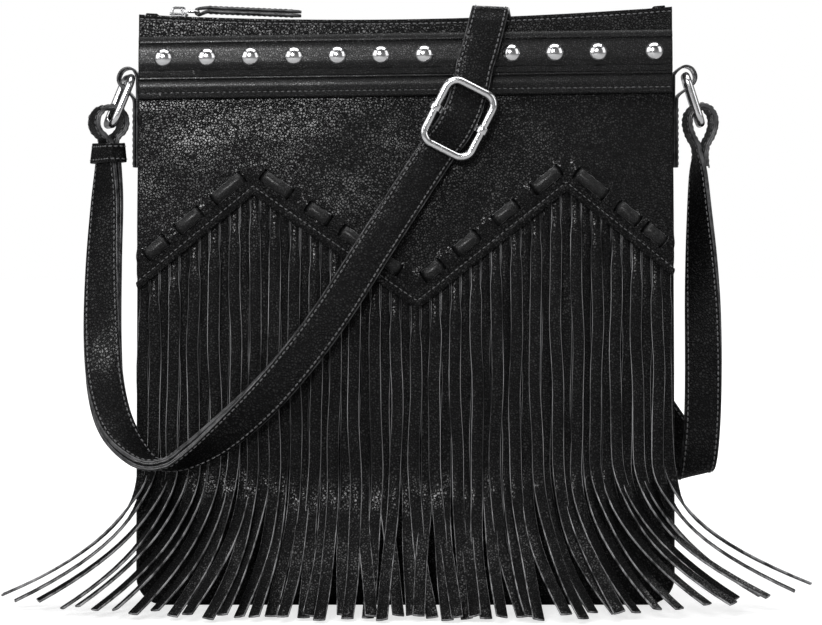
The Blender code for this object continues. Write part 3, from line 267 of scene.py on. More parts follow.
@dataclass(frozen=True)
class ZigzagHem:
    """The yoke's zigzag lower edge and the laced line above it."""

    form: BagForm
    layers: Layers
    corners: tuple = ((-0.1341, 0.1582), (-0.0763, 0.2060), (0.0058, 0.1488),
                      (0.0805, 0.2080), (0.1341, 0.1650))
    slope_cos: float = 0.8
    lift_full: float = 0.018
    lift_blend: float = 0.012
    lift_end: float = 0.070
    band_z: float = 0.2530
    band_fade: float = 0.024
    lace_above: float = 0.0100
    lace_turn: float = 0.007
    shows: tuple = ((-0.1293, -0.1198), (-0.1137, -0.1027), (-0.0957, -0.0817),
                    (-0.0712, -0.0577), (-0.0487, -0.0383), (-0.0317, -0.0197),
                    (-0.0130, -0.0030), (0.0092, 0.0178), (0.0253, 0.0358), (0.0448, 0.0553),
                    (0.0643, 0.0768), (0.0858, 0.0998), (0.1063, 0.1163), (0.1198, 0.1290))

    def z(self, x: float) -> float:
        """Height of the hem."""
        return between([c[0] for c in self.corners], [c[1] for c in self.corners], x)

    def above(self, x: float, z: float) -> float:
        """Distance of a point above the hem, square to it."""
        return (z - self.z(x)) * self.slope_cos

    def lift(self, x: float, z: float) -> float:
        """How far the yoke stands off the panel there.

        Args:
            x: Place across the bag.
            z: Height.

        Returns:
            The distance.
        """
        steps = [self.z(x + self.lift_blend * part) for part in (-1.0, -0.6, -0.2, 0.2, 0.6, 1.0)]
        above = (z - sum(steps) / len(steps)) * self.slope_cos
        share = (above - self.lift_full) / (self.lift_end - self.lift_full)
        under_band = smoothstep((self.band_z - z) / self.band_fade)
        return self.layers.lift * (1.0 - smoothstep(share)) * under_band

    def point(self, x: float, z: float, offset: float) -> Vector:
        """A point at an offset that follows the lifted hem."""
        return self.form.front(x, z, offset + self.lift(x, z))

    def lace_z(self, x: float) -> float:
        """Height of the lace's middle, with its corners eased.

        Args:
            x: Place across the bag.

        Returns:
            The height.
        """
        half = self.lace_turn / 2
        samples = [self.z(x + half * step) for step in (-1.0, -0.5, 0.0, 0.5, 1.0)]
        return sum(samples) / len(samples) + self.lace_above / self.slope_cos

    def lace_direction(self, x: float) -> Vector:
        """Unit direction of the lace along the front."""
        step = 0.0005
        return Vector((2 * step, 0.0, self.lace_z(x + step) - self.lace_z(x - step))).normalized()

    def slits(self) -> list[tuple[float, float]]:
        """Each slit's x, and the side on which the lace shows: 1 right of it, -1 left."""
        return [pair for low, high in self.shows for pair in ((low, 1.0), (high, -1.0))]


# Nodes
class Wiring:
    """Adds nodes to a tree and wires them."""

    def __init__(self, tree: bpy.types.NodeTree) -> None:
        """Keeps the tree."""
        self.tree = tree

    def add(self, kind: str, inputs: dict | None = None, **settings: object) -> bpy.types.Node:
        """Adds a node.

        Args:
            kind: The node's type.
            inputs: Input name or number to a plain value or to an output socket.
            settings: The node's own properties.

        Returns:
            The node.
        """
        node = self.tree.nodes.new(kind)
        for name, value in settings.items():
            setattr(node, name, value)
        self.feed(node, inputs or {})
        return node

    def feed(self, node: bpy.types.Node, inputs: dict) -> None:
        """Sets or links a node's inputs.

        Args:
            node: The node.
            inputs: Input name or number to a plain value or to an output socket.
        """
        for key, value in inputs.items():
            if isinstance(value, bpy.types.NodeSocket):
                self.tree.links.new(value, node.inputs[key])
            else:
                node.inputs[key].default_value = value

    def maths(self, operation: str, first: object, second: object = 0.0) -> bpy.types.NodeSocket:
        """Adds a Math node fed by sockets or numbers and returns its output."""
        return self.add("ShaderNodeMath", {0: first, 1: second}, operation=operation).outputs[0]

    def ranged(self, value: bpy.types.NodeSocket, low: float, high: float,
               to: tuple[float, float]) -> bpy.types.NodeSocket:
        """Maps a value from one range to another and returns the output."""
        return self.add("ShaderNodeMapRange", {"Value": value, "From Min": low, "From Max": high,
                                               "To Min": to[0], "To Max": to[1]}).outputs["Result"]

    def blend(self, share: bpy.types.NodeSocket, first: Colour,
              second: Colour) -> bpy.types.NodeSocket:
        """Blends two colours by a share and returns the output."""
        return self.add("ShaderNodeMix", {"Factor": share, "A": first, "B": second},
                        data_type="RGBA").outputs["Result"]

    def bump(self, height: bpy.types.NodeSocket, depth: float,
             strength: float = 1.0) -> bpy.types.NodeSocket:
        """Turns a height, so many metres deep, into a normal and returns the output."""
        return self.add("ShaderNodeBump", {"Strength": strength, "Distance": depth,
                                           "Height": height}).outputs["Normal"]


def empty_group(name: str, kind: str, inputs: Iterable[tuple], outputs: Iterable[tuple]) -> tuple:
    """Makes an empty node group with its sockets.

    Args:
        name: Name of the group.
        kind: The group's tree type.
        inputs: Name, socket type and default of each input.
        outputs: Name and socket type of each output.

    Returns:
        The wiring, the input node's outputs and the output node.
    """
    tree = bpy.data.node_groups.new(name, kind)
    for label, socket_type, default in inputs:
        socket = tree.interface.new_socket(label, in_out="INPUT", socket_type=socket_type)
        if default is not None:
            socket.default_value = default
    for label, socket_type in outputs:
        tree.interface.new_socket(label, in_out="OUTPUT", socket_type=socket_type)
    wiring = Wiring(tree)
    return wiring, wiring.add("NodeGroupInput").outputs, wiring.add("NodeGroupOutput")


# Shader groups and finishes
class Effect(Enum):
    """The surface effects that several finishes share."""

    GRAIN = "leather_grain"
    SCUFF = "soft_scuff"


class ShaderGroups:
    """Builds each shared shader node group once."""

    def __init__(self) -> None:
        """Makes the groups."""
        self.made = {Effect.GRAIN: self.grain(), Effect.SCUFF: self.scuff()}

    @staticmethod
    def start(effect: Effect, values: dict[str, float], outputs: Iterable[str]) -> tuple:
        """Makes an empty effect that starts from a position.

        Args:
            effect: Which effect it is.
            values: Name and default of each number that it takes.
            outputs: Name of each value that it puts out.

        Returns:
            The wiring, the input node's outputs and the output node.
        """
        inputs = [("Position", "NodeSocketVector", None)]
        inputs += [(name, "NodeSocketFloat", default) for name, default in values.items()]
        return empty_group(effect.value, "ShaderNodeTree", inputs,
                           [(name, "NodeSocketFloat") for name in outputs])

    def grain(self) -> bpy.types.NodeTree:
        """Pebbled grain with creases, as a height, a shade and a gloss; the shade is painted shade,
        dark in the valleys between pebbles and along the crease lines, under random patches of
        tone.

        Returns:
            The group's tree.
        """
        wiring, given, result = self.start(Effect.GRAIN, {"Pebbles": 900.0, "Creases": 0.35},
                                           ("Height", "Shade", "Gloss"))
        place, pebbles = given["Position"], given["Pebbles"]
        wobble = wiring.add("ShaderNodeTexNoise", {
            "Vector": place, "Scale": wiring.maths("MULTIPLY", pebbles, 0.6), "Detail": 2.0})
        shifted = wiring.add("ShaderNodeVectorMath", {
            0: wobble.outputs["Color"], 1: (0.0006, 0.0006, 0.0006), 2: place},
            operation="MULTIPLY_ADD").outputs[0]
        cells = wiring.add("ShaderNodeTexVoronoi", {"Vector": shifted, "Scale": pebbles},
                           feature="DISTANCE_TO_EDGE")
        domes = wiring.add("ShaderNodeTexVoronoi", {
            "Vector": shifted, "Scale": wiring.maths("MULTIPLY", pebbles, 0.62),
            "Smoothness": 0.6}, feature="SMOOTH_F1")
        valley = wiring.add("ShaderNodeMapRange", {
            "Value": cells.outputs["Distance"], "From Min": 0.0, "From Max": 0.42},
            interpolation_type="SMOOTHSTEP").outputs["Result"]
        fold = wiring.add("ShaderNodeTexNoise", {
            "Vector": place, "Scale": 46.0, "Detail": 3.0, "Distortion": 0.6}).outputs["Fac"]
        laid = wiring.add("ShaderNodeMapping", {
            "Vector": shifted, "Rotation": (0.0, math.radians(-52.0), 0.0),
            "Scale": (1.0, 1.0, 2.6)})
        wrinkle = wiring.add("ShaderNodeTexNoise", {
            "Vector": laid.outputs[0], "Scale": wiring.maths("MULTIPLY", pebbles, 0.34),
            "Detail": 3.0}).outputs["Fac"]
        line = wiring.maths("ABSOLUTE", wiring.maths("SUBTRACT", wrinkle, 0.5))
        thin = wiring.maths("MINIMUM", wiring.maths("MULTIPLY", line, 9.0), 1.0)
        pebble = wiring.maths("MULTIPLY", valley, 0.65)
        dome = wiring.maths("MULTIPLY", domes.outputs["Distance"], -0.40)
        crease = wiring.maths("MULTIPLY", wiring.maths("ADD", thin, fold), given["Creases"])
        height = wiring.maths("ADD", wiring.maths("ADD", pebble, dome), crease)
        crinkled = wiring.maths("ADD", wiring.maths("MULTIPLY", thin, 0.7), 0.3)
        tops = wiring.maths("MULTIPLY", valley, crinkled)
        patch = wiring.maths("ADD", wiring.maths("MULTIPLY", fold, 0.9), 0.15)
        # Shade: painted shade in the pebble valleys and along the crease lines (tops), times random
        # patches of tone (fold).
        wiring.feed(result, {"Height": height, "Shade": wiring.maths("MULTIPLY", tops, fold),
                             "Gloss": wiring.maths("MULTIPLY", tops, patch)})
        return wiring.tree

    def scuff(self) -> bpy.types.NodeTree:
        """Faint handling marks, as a mask and a height.

        Returns:
            The group's tree.
        """
        wiring, given, result = self.start(Effect.SCUFF, {"Marks": 300.0}, ("Mask", "Height"))
        streak = wiring.add("ShaderNodeTexNoise", {
            "Vector": given["Position"], "Scale": given["Marks"], "Detail": 4.0,
            "Roughness": 0.65}).outputs["Fac"]
        wiring.feed(result, {"Mask": wiring.ranged(streak, 0.52, 0.72, (0.0, 1.0)),
                             "Height": streak})
        return wiring.tree


class MaterialBench:
    """Starts a material and places its shared groups."""

    def __init__(self, groups: ShaderGroups) -> None:
        """Keeps the shared groups."""
        self.groups = groups

    def start(self, name: str) -> tuple:
        """Makes a material with its nodes.

        Args:
            name: Name of the finish.

        Returns:
            The material, its wiring, its Principled shader and the Object coordinate output.
        """
        made = bpy.data.materials.new(name)
        made.use_nodes = True
        wiring = Wiring(made.node_tree)
        place = wiring.add("ShaderNodeTexCoord")
        return made, wiring, wiring.tree.nodes["Principled BSDF"], place.outputs["Object"]

    def effect(self, wiring: Wiring, effect: Effect, position: bpy.types.NodeSocket,
               values: dict[str, float]) -> bpy.types.NodeOutputs:
        """Places a shared group with its own values and returns its outputs."""
        return wiring.add("ShaderNodeGroup", {"Position": position, **values},
                          node_tree=self.groups.made[effect]).outputs


@dataclass(frozen=True)
class GrainedLeather:
    """Pebbled leather with a gloss coat on its pebbles and painted shade in its valleys and
    creases.
    """

    name: str
    dark: Colour = (0.0015, 0.0015, 0.0017, 1.0)
    light: Colour = (0.014, 0.014, 0.0145, 1.0)
    roughness: tuple[float, float] = (0.50, 0.36)
    pebbles: float = 760.0
    creases: float = 0.55
    depth: float = 0.00055
    coat: tuple[float, float] = (0.0, 1.0)
    coat_roughness: float = 0.30
    specular: float = 0.13

    def build(self, bench: MaterialBench) -> bpy.types.Material:
        """Makes the material.

        Args:
            bench: Where materials are started.

        Returns:
            The material.
        """
        made, wiring, shader, place = bench.start(self.name)
        grain = bench.effect(wiring, Effect.GRAIN, place,
                             {"Pebbles": self.pebbles, "Creases": self.creases})
        # Base colour: painted shade, dark in the grain's valleys and creases, light on its pebble
        # tops.
        wiring.feed(shader, {
            "Base Color": wiring.blend(grain["Shade"], self.dark, self.light),
            "Roughness": wiring.ranged(grain["Gloss"], 0.0, 0.6, self.roughness),
            "Coat Weight": wiring.ranged(grain["Gloss"], 0.07, 0.42, self.coat),
            "Coat Roughness": self.coat_roughness,
            "Specular IOR Level": self.specular,
            "Normal": wiring.bump(grain["Height"], self.depth)})
        return made


@dataclass(frozen=True)
class CutEdge:
    """The raw or painted edge of cut leather."""

    name: str
    dark: Colour = (0.012, 0.012, 0.013, 1.0)
    light: Colour = (0.300, 0.300, 0.305, 1.0)
    roughness: float = 0.50
    marks: float = 170.0
    run: float = 0.10

    def build(self, bench: MaterialBench) -> bpy.types.Material:
        """Makes the material.

        Args:
            bench: Where materials are started.

        Returns:
            The material.
        """
        made, wiring, shader, place = bench.start(self.name)
        run = wiring.add("ShaderNodeMapping", {"Vector": place, "Scale": (1.0, 1.0, self.run)})
        scuff = bench.effect(wiring, Effect.SCUFF, run.outputs[0], {"Marks": self.marks})
        share = wiring.ranged(scuff["Height"], 0.38, 0.64, (0.0, 1.0))
        wiring.feed(shader, {"Base Color": wiring.blend(share, self.dark, self.light),
                             "Roughness": self.roughness,
                             "Normal": wiring.bump(scuff["Height"], 0.00025)})
        return made


@dataclass(frozen=True)
class Chrome:
    """Polished plated metal with faint handling marks."""

    name: str
    colour: Colour = (0.93, 0.93, 0.94, 1.0)
    roughness: tuple[float, float] = (0.17, 0.27)

    def build(self, bench: MaterialBench) -> bpy.types.Material:
        """Makes the material.

        Args:
            bench: Where materials are started.

        Returns:
            The material.
        """
        made, wiring, shader, place = bench.start(self.name)
        scuff = bench.effect(wiring, Effect.SCUFF, place, {"Marks": 420.0})
        wiring.feed(shader, {"Base Color": self.colour, "Metallic": 1.0,
                             "Roughness": wiring.ranged(scuff["Mask"], 0.0, 1.0, self.roughness),
                             "Normal": wiring.bump(scuff["Height"], 0.00003, 0.5)})
        return made


@dataclass(frozen=True)
class Woven:
    """A woven or coiled textile, by its threads to the metre."""

    name: str
    dark: Colour
    light: Colour
    threads: float = 1400.0
    roughness: float = 0.7
    depth: float = 0.00012

    def build(self, bench: MaterialBench) -> bpy.types.Material:
        """Makes the material.

        Args:
            bench: Where materials are started.

        Returns:
            The material.
        """
        made, wiring, shader, place = bench.start(self.name)
        waves = [wiring.add("ShaderNodeTexWave", {"Vector": place, "Scale": self.threads / 6.3,
                                                  "Distortion": 0.4},
                            bands_direction=axis).outputs["Fac"] for axis in ("X", "Z")]
        weave = wiring.maths("MULTIPLY", *waves)
        wiring.feed(shader, {"Base Color": wiring.blend(weave, self.dark, self.light),
                             "Roughness": self.roughness, "Sheen Weight": 0.15,
                             "Normal": wiring.bump(weave, self.depth)})
        return made


class Finishes:
    """Every finish of the bag, made once."""

    def __init__(self) -> None:
        """Builds the materials."""
        bench = MaterialBench(ShaderGroups())
        self.body = GrainedLeather("body_leather").build(bench)
        # band_leather: its lighter pebble-top colour (0.030 against the body's 0.014) is painted
        # sheen on the same black leather; its stronger coat is real gloss.
        self.band = GrainedLeather("band_leather", light=(0.030, 0.030, 0.031, 1.0), pebbles=980.0,
                                   creases=0.4, depth=0.00035, coat=(0.25, 1.0)).build(bench)
        self.fringe = GrainedLeather("fringe_leather", creases=0.45, coat=(0.0, 0.75),
                                     specular=0.12).build(bench)
        self.strap = GrainedLeather("strap_leather", pebbles=680.0, creases=0.4, depth=0.0004,
                                    coat=(0.02, 0.6), specular=0.10).build(bench)
        self.lace = GrainedLeather("lace_leather", pebbles=900.0, creases=0.8, depth=0.0003,
                                   coat=(0.35, 1.0), coat_roughness=0.34,
                                   specular=0.20).build(bench)
        self.raw_edge = CutEdge("raw_leather_edge").build(bench)
        self.painted_edge = CutEdge("painted_leather_edge", dark=(0.006, 0.006, 0.0065, 1.0),
                                    light=(0.09, 0.09, 0.093, 1.0), roughness=0.34,
                                    run=1.0).build(bench)
        self.chrome = Chrome("polished_chrome").build(bench)
        # sewing_thread: the weave pattern is real, but the thread is black; its light colours, up
        # to 0.28, are painted glints that make the stitches show as light dashes.
        self.thread = Woven("sewing_thread", (0.05, 0.05, 0.052, 1.0), (0.28, 0.28, 0.285, 1.0),
                            threads=5200.0, roughness=0.38, depth=0.0001).build(bench)
        self.tape = Woven("zip_tape", (0.006, 0.006, 0.006, 1.0),
                          (0.03, 0.03, 0.03, 1.0)).build(bench)
        self.coil = Woven("zip_coil", (0.008, 0.008, 0.008, 1.0), (0.035, 0.035, 0.036, 1.0),
                          threads=2400.0, roughness=0.4).build(bench)
        self.lining = Woven("lining_cloth", (0.020, 0.020, 0.021, 1.0), (0.05, 0.05, 0.052, 1.0),
                            threads=1900.0, roughness=0.85).build(bench)
        self.cut_body, self.cut_fringe, self.cut_lace = [
            (leather, self.raw_edge) for leather in (self.body, self.fringe, self.lace)]
        self.cut_strap = (self.strap, self.painted_edge)


# Making and placing pieces
class Workshop:
    """Turns points into finished pieces and puts each on its body."""

    def __init__(self, finishes: Finishes) -> None:
        """Keeps the finishes."""
        self.finishes = finishes

    @staticmethod
    def link(name: str, mesh: bpy.types.Mesh) -> bpy.types.Object:
        """Puts a mesh in the scene as an object at the origin.

        Args:
            name: Name of the piece.
            mesh: Its mesh.

        Returns:
            The object.
        """
        made = bpy.data.objects.new(name, mesh)
        bpy.context.scene.collection.objects.link(made)
        return made

    @staticmethod
    def settle(piece: bpy.types.Object) -> bpy.types.Object:
        """Replaces a piece by its evaluated mesh, so that no modifier is left.

        Args:
            piece: An object with modifiers, or a curve.

        Returns:
            The plain piece.
        """
        graph = bpy.context.evaluated_depsgraph_get()
        mesh = bpy.data.meshes.new_from_object(piece.evaluated_get(graph))
        name, old = piece.name, piece.data
        bpy.data.objects.remove(piece, do_unlink=True)
        made = Workshop.link(name, mesh)
        if isinstance(old, bpy.types.Mesh):
            bpy.data.meshes.remove(old)
        mesh.name = name
        return made

    @staticmethod
    def shade(piece: bpy.types.Object, angle: float = 38.0) -> None:
        """Shades a piece smooth but for its sharp edges."""
        piece.data.shade_smooth()
        piece.data.set_sharp_from_angle(angle=math.radians(angle))

    def place(self, piece: bpy.types.Object, body: str, slot: str,
              stands_for: Sequence[str] = ()) -> bpy.types.Object:
        """Puts a finished piece on its body.

        Args:
            piece: The piece, in place.
            body: The body that it moves with.
            slot: The record's slot that its finish belongs to; not used.
            stands_for: The solids that it replaces.

        Returns:
            The piece.
        """
        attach(piece, body)
        if stands_for:
            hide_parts(*stands_for)
        piece.data.calc_loop_triangles()
        LOG.info("%s: %d triangles on %s", piece.name, len(piece.data.loop_triangles), body)
        return piece

    def sheet(self, name: str, rows: Sequence[Row], thickness: float,
              materials: Sequence[bpy.types.Material], side: float = 1.0, closed: bool = False,
              flip: bool = False, edge: float = 0.0004) -> bpy.types.Object:
        """A leather sheet over rows of points, with its rim in a second material.

        Args:
            name: Name of the piece.
            rows: Rows of points of one face.
            thickness: Thickness of the leather.
            materials: The face's material and the rim's.
            side: 1 grows along the normals, -1 against them, 0 both ways.
            closed: Joins each row's end to its start.
            flip: Turns the faces round first.
            edge: Radius of the rounded rim.

        Returns:
            The piece, without modifiers.
        """
        count = len(rows[0])
        points = [point for row in rows for point in row]
        faces = []
        for r in range(len(rows) - 1):
            for c in range(count if closed else count - 1):
                after = (c + 1) % count
                faces.append((r * count + c, r * count + after,
                              (r + 1) * count + after, (r + 1) * count + c))
        mesh = bpy.data.meshes.new(name)
        mesh.from_pydata(points, [], faces)
        mesh.update()
        if flip:
            mesh.flip_normals()
        for finish in materials:
            mesh.materials.append(finish)
        piece = self.link(name, mesh)
        solid = piece.modifiers.new("thickness", "SOLIDIFY")
        solid.thickness = thickness
        solid.offset = side
        solid.use_even_offset = True
        solid.use_quality_normals = True
        solid.material_offset_rim = 1 if len(materials) > 1 else 0
        if edge > 0.0:
            bevel = piece.modifiers.new("edge", "BEVEL")
            bevel.width = edge
            bevel.segments = 2
            bevel.limit_method = "ANGLE"
            bevel.angle_limit = math.radians(60.0)
        made = self.settle(piece)
        self.shade(made)
        return made

    def sweep(self, name: str, stations: Sequence[tuple], section: Callable[[int], list],
              materials: Sequence[bpy.types.Material], loop: bool = False) -> bpy.types.Object:
        """A band swept along stations with its own section at each.

        Args:
            name: Name of the piece.
            stations: Centre, width direction and outward direction of each.
            section: Gives, for a station's number, points (across, out, is_edge) anticlockwise
                seen along the sweep.
            materials: The faces' material and the edges'.
            loop: Joins the last station to the first.

        Returns:
            The closed piece.
        """
        points, faces, marks = [], [], []
        sections = [section(i) for i in range(len(stations))]
        count = len(sections[0])
        for (centre, wide, out), shape in zip(stations, sections):
            points += [centre + wide * across + out * height for across, height, _ in shape]
        rings = len(stations) if loop else len(stations) - 1
        for r in range(rings):
            following = (r + 1) % len(stations)
            for c in range(count):
                after = (c + 1) % count
                faces.append((r * count + c, r * count + after,
                              following * count + after, following * count + c))
                marks.append(1 if sections[r][c][2] and sections[r][after][2] else 0)
        if not loop:
            last = (len(stations) - 1) * count
            faces += [tuple(reversed(range(count))), tuple(range(last, last + count))]
            marks += [1, 1]
        mesh = bpy.data.meshes.new(name)
        mesh.from_pydata(points, [], faces)
        for finish in materials:
            mesh.materials.append(finish)
        mesh.polygons.foreach_set("material_index", marks)
        mesh.update()
        shape = bmesh.new()
        shape.from_mesh(mesh)
        bmesh.ops.recalc_face_normals(shape, faces=shape.faces)
        bmesh.ops.triangulate(shape, faces=[f for f in shape.faces if len(f.verts) > 4])
        shape.to_mesh(mesh)
        shape.free()
        piece = self.link(name, mesh)
        self.shade(piece, 50.0)
        return piece

    def wire(self, name: str, points: Sequence[Vector], radius: float, closed: bool,
             finish: bpy.types.Material, sides: int = 5) -> bpy.types.Object:
        """A round wire along points.

        Args:
            name: Name of the piece.
            points: Centre line.
            radius: Radius of the wire.
            closed: Joins the ends.
            finish: Its material.
            sides: Bevel resolution.

        Returns:
            The wire as a mesh.
        """
        curve = bpy.data.curves.new(name, "CURVE")
        curve.dimensions = "3D"
        curve.bevel_depth = radius
        curve.bevel_resolution = sides
        curve.use_fill_caps = True
        line = curve.splines.new("POLY")
        line.points.add(len(points) - 1)
        for spot, point in zip(line.points, points):
            spot.co = (*point, 1.0)
        line.use_cyclic_u = closed
        curve.materials.append(finish)
        holder = bpy.data.objects.new(name, curve)
        bpy.context.scene.collection.objects.link(holder)
        made = self.settle(holder)
        bpy.data.curves.remove(curve)
        shape = bmesh.new()
        shape.from_mesh(made.data)
        bmesh.ops.remove_doubles(shape, verts=shape.verts, dist=0.000005)
        bmesh.ops.recalc_face_normals(shape, faces=shape.faces)
        shape.to_mesh(made.data)
        shape.free()
        self.shade(made, 50.0)
        return made

    @staticmethod
    def join(name: str, pieces: Sequence[bpy.types.Object]) -> bpy.types.Object:
        """Joins pieces into one object, with their materials kept.

        Args:
            name: Name of the joined piece.
            pieces: What is joined.

        Returns:
            The joined piece.
        """
        shape = bmesh.new()
        finishes: list[bpy.types.Material] = []
        for piece in pieces:
            mesh = piece.data
            for finish in mesh.materials:
                if finish not in finishes:
                    finishes.append(finish)
            index = [finishes.index(finish) for finish in mesh.materials] or [0]
            before = len(shape.faces)
            shape.from_mesh(mesh)
            shape.faces.ensure_lookup_table()
            for face in shape.faces[before:]:
                face.material_index = index[min(face.material_index, len(index) - 1)]
        joined = bpy.data.meshes.new(name)
        shape.to_mesh(joined)
        shape.free()
        for finish in finishes:
            joined.materials.append(finish)
        for piece in pieces:
            old = piece.data
            bpy.data.objects.remove(piece, do_unlink=True)
            bpy.data.meshes.remove(old)
        return Workshop.link(name, joined)


# Repeated pieces
class RepeatMaker:
    """Geometry Nodes trees for stitches, studs and zip coils."""

    def __init__(self, shop: Workshop) -> None:
        """Builds the trees.

        Args:
            shop: Where pieces are made and placed.
        """
        self.shop = shop
        self.stitch_tree = self.build_stitches()
        self.stud_tree = self.build_studs()
        self.coil_tree = self.build_coils()

    @staticmethod
    def start(name: str, sizes: dict[str, float]) -> tuple:
        """Makes an empty tree that takes a line, sizes and a finish.

        Args:
            name: Name of the tree.
            sizes: Name and default of each size.

        Returns:
            The wiring, the input node's outputs and the output node.
        """
        inputs = [("Line", "NodeSocketGeometry", None)]
        inputs += [(label, "NodeSocketFloat", default) for label, default in sizes.items()]
        inputs += [("Finish", "NodeSocketMaterial", None)]
        return empty_group(name, "GeometryNodeTree", inputs, [("Pieces", "NodeSocketGeometry")])

    @staticmethod
    def copies(wiring: Wiring, given: bpy.types.NodeOutputs, result: bpy.types.Node,
               points: bpy.types.NodeSocket, shape: bpy.types.NodeSocket,
               direction: bpy.types.NodeSocket, axis: str) -> bpy.types.NodeTree:
        """Ends a tree in copies of a shape on points, realized and dressed.

        Args:
            wiring: The tree's wiring.
            given: The tree's inputs.
            result: The output node.
            points: Where the copies go.
            shape: What is copied.
            direction: Where each copy's axis points.
            axis: The axis that is turned.

        Returns:
            The tree.
        """
        turn = wiring.add("FunctionNodeAlignRotationToVector", {"Vector": direction}, axis=axis)
        step = wiring.add("GeometryNodeInstanceOnPoints", {
            0: points, "Instance": shape, "Rotation": turn.outputs[0]})
        step = wiring.add("GeometryNodeRealizeInstances", {0: step.outputs[0]})
        step = wiring.add("GeometryNodeSetShadeSmooth", {0: step.outputs[0]})
        step = wiring.add("GeometryNodeSetMaterial", {0: step.outputs[0],
                                                      "Material": given["Finish"]})
        wiring.feed(result, {0: step.outputs[0]})
        return wiring.tree

    def along_line(self, wiring: Wiring, given: bpy.types.NodeOutputs, result: bpy.types.Node,
                   shape: bpy.types.NodeSocket, axis: str) -> bpy.types.NodeTree:
        """Sets copies of a shape along the input line, each turned to its direction.

        Args:
            wiring: The tree's wiring.
            given: The tree's inputs.
            result: The output node.
            shape: What is copied.
            axis: The axis that follows the line.

        Returns:
            The tree.
        """
        curve = wiring.add("GeometryNodeMeshToCurve", {0: given["Line"]})
        even = wiring.add("GeometryNodeResampleCurve", {
            0: curve.outputs[0], "Length": given["Pitch"]}, mode="LENGTH")
        tangent = wiring.add("GeometryNodeInputTangent")
        return self.copies(wiring, given, result, even.outputs[0], shape, tangent.outputs[0], axis)

    def build_stitches(self) -> bpy.types.NodeTree:
        """A row of thread stitches along a line.

        Returns:
            The tree.
        """
        wiring, given, result = self.start("stitch_row", {
            "Pitch": 0.004, "Length": 0.0028, "Thread": 0.0003})
        ball = wiring.add("GeometryNodeMeshUVSphere", {"Segments": 6, "Rings": 5, "Radius": 1.0})
        size = wiring.add("ShaderNodeCombineXYZ", {
            "X": given["Thread"], "Y": given["Thread"],
            "Z": wiring.maths("MULTIPLY", given["Length"], 0.5)})
        long = wiring.add("GeometryNodeTransform", {0: ball.outputs["Mesh"],
                                                    "Scale": size.outputs[0]})
        return self.along_line(wiring, given, result, long.outputs[0], "Z")

    def build_studs(self) -> bpy.types.NodeTree:
        """A dome stud with a thin rim on each input point, turned to its facing.

        Returns:
            The tree.
        """
        wiring, given, result = self.start("stud_row", {
            "Radius": 0.0046, "Rise": 0.003, "Rim": 0.0004})
        inner = wiring.maths("MULTIPLY", given["Radius"], 0.95)
        ball = wiring.add("GeometryNodeMeshUVSphere", {"Segments": 32, "Rings": 20,
                                                       "Radius": inner})
        place = wiring.add("GeometryNodeInputPosition")
        split = wiring.add("ShaderNodeSeparateXYZ", {0: place.outputs[0]}).outputs
        upper = wiring.maths("MAXIMUM", split["Z"], 0.0)
        flat = wiring.maths("MULTIPLY", upper, wiring.maths("DIVIDE", given["Rise"], inner))
        spot = wiring.add("ShaderNodeCombineXYZ", {"X": split["X"], "Y": split["Y"], "Z": flat})
        dome = wiring.add("GeometryNodeSetPosition", {0: ball.outputs["Mesh"],
                                                      "Position": spot.outputs[0]})
        rim = wiring.add("GeometryNodeMeshCylinder", {
            "Vertices": 32, "Radius": given["Radius"], "Depth": given["Rim"]})
        both = wiring.add("GeometryNodeJoinGeometry", {0: dome.outputs[0]})
        wiring.feed(both, {0: rim.outputs["Mesh"]})
        facing = wiring.add("GeometryNodeInputNamedAttribute", {"Name": "facing"},
                            data_type="FLOAT_VECTOR")
        return self.copies(wiring, given, result, given["Line"], both.outputs[0],
                           facing.outputs[0], "Z")

    def build_coils(self) -> bpy.types.NodeTree:
        """Round coil teeth across the zip along its line.

        Returns:
            The tree.
        """
        wiring, given, result = self.start("coil_row", {
            "Pitch": 0.00125, "Width": 0.0046, "Thread": 0.0005})
        rod = wiring.add("GeometryNodeMeshCylinder", {
            "Vertices": 8, "Radius": given["Thread"], "Depth": given["Width"]})
        laid = wiring.add("GeometryNodeTransform", {0: rod.outputs["Mesh"],
                                                    "Rotation": (math.pi / 2, 0.0, 0.0)})
        return self.along_line(wiring, given, result, laid.outputs[0], "X")

    def run(self, name: str, tree: bpy.types.NodeTree, mesh: bpy.types.Mesh,
            values: dict[str, object]) -> bpy.types.Object:
        """Runs a tree on a mesh and returns the result as a plain piece.

        Args:
            name: Name of the piece.
            tree: The tree to run.
            mesh: Line or points that it works on.
            values: Input name to value.

        Returns:
            The piece.
        """
        holder = self.shop.link(name, mesh)
        repeat = holder.modifiers.new("repeat", "NODES")
        repeat.node_group = tree
        for item in tree.interface.items_tree:
            if item.in_out == "INPUT" and item.name in values:
                repeat[item.identifier] = values[item.name]
        return self.shop.settle(holder)

    def stitches(self, name: str, lines: Sequence[Row], pitch: float = 0.0029,
                 length: float = 0.0022, thread: float = 0.00042) -> bpy.types.Object:
        """Rows of stitches along lines of points.

        Args:
            name: Name of the piece.
            lines: Points of each row.
            pitch: From stitch to stitch.
            length: Length of a stitch.
            thread: Half of its thickness.

        Returns:
            The stitches as one piece.
        """
        points, edges = [], []
        for line in lines:
            start = len(points)
            points += line
            edges += [(start + i, start + i + 1) for i in range(len(line) - 1)]
        mesh = bpy.data.meshes.new(name)
        mesh.from_pydata(points, edges, [])
        return self.run(name, self.stitch_tree, mesh, {
            "Pitch": pitch, "Length": length, "Thread": thread,
            "Finish": self.shop.finishes.thread})


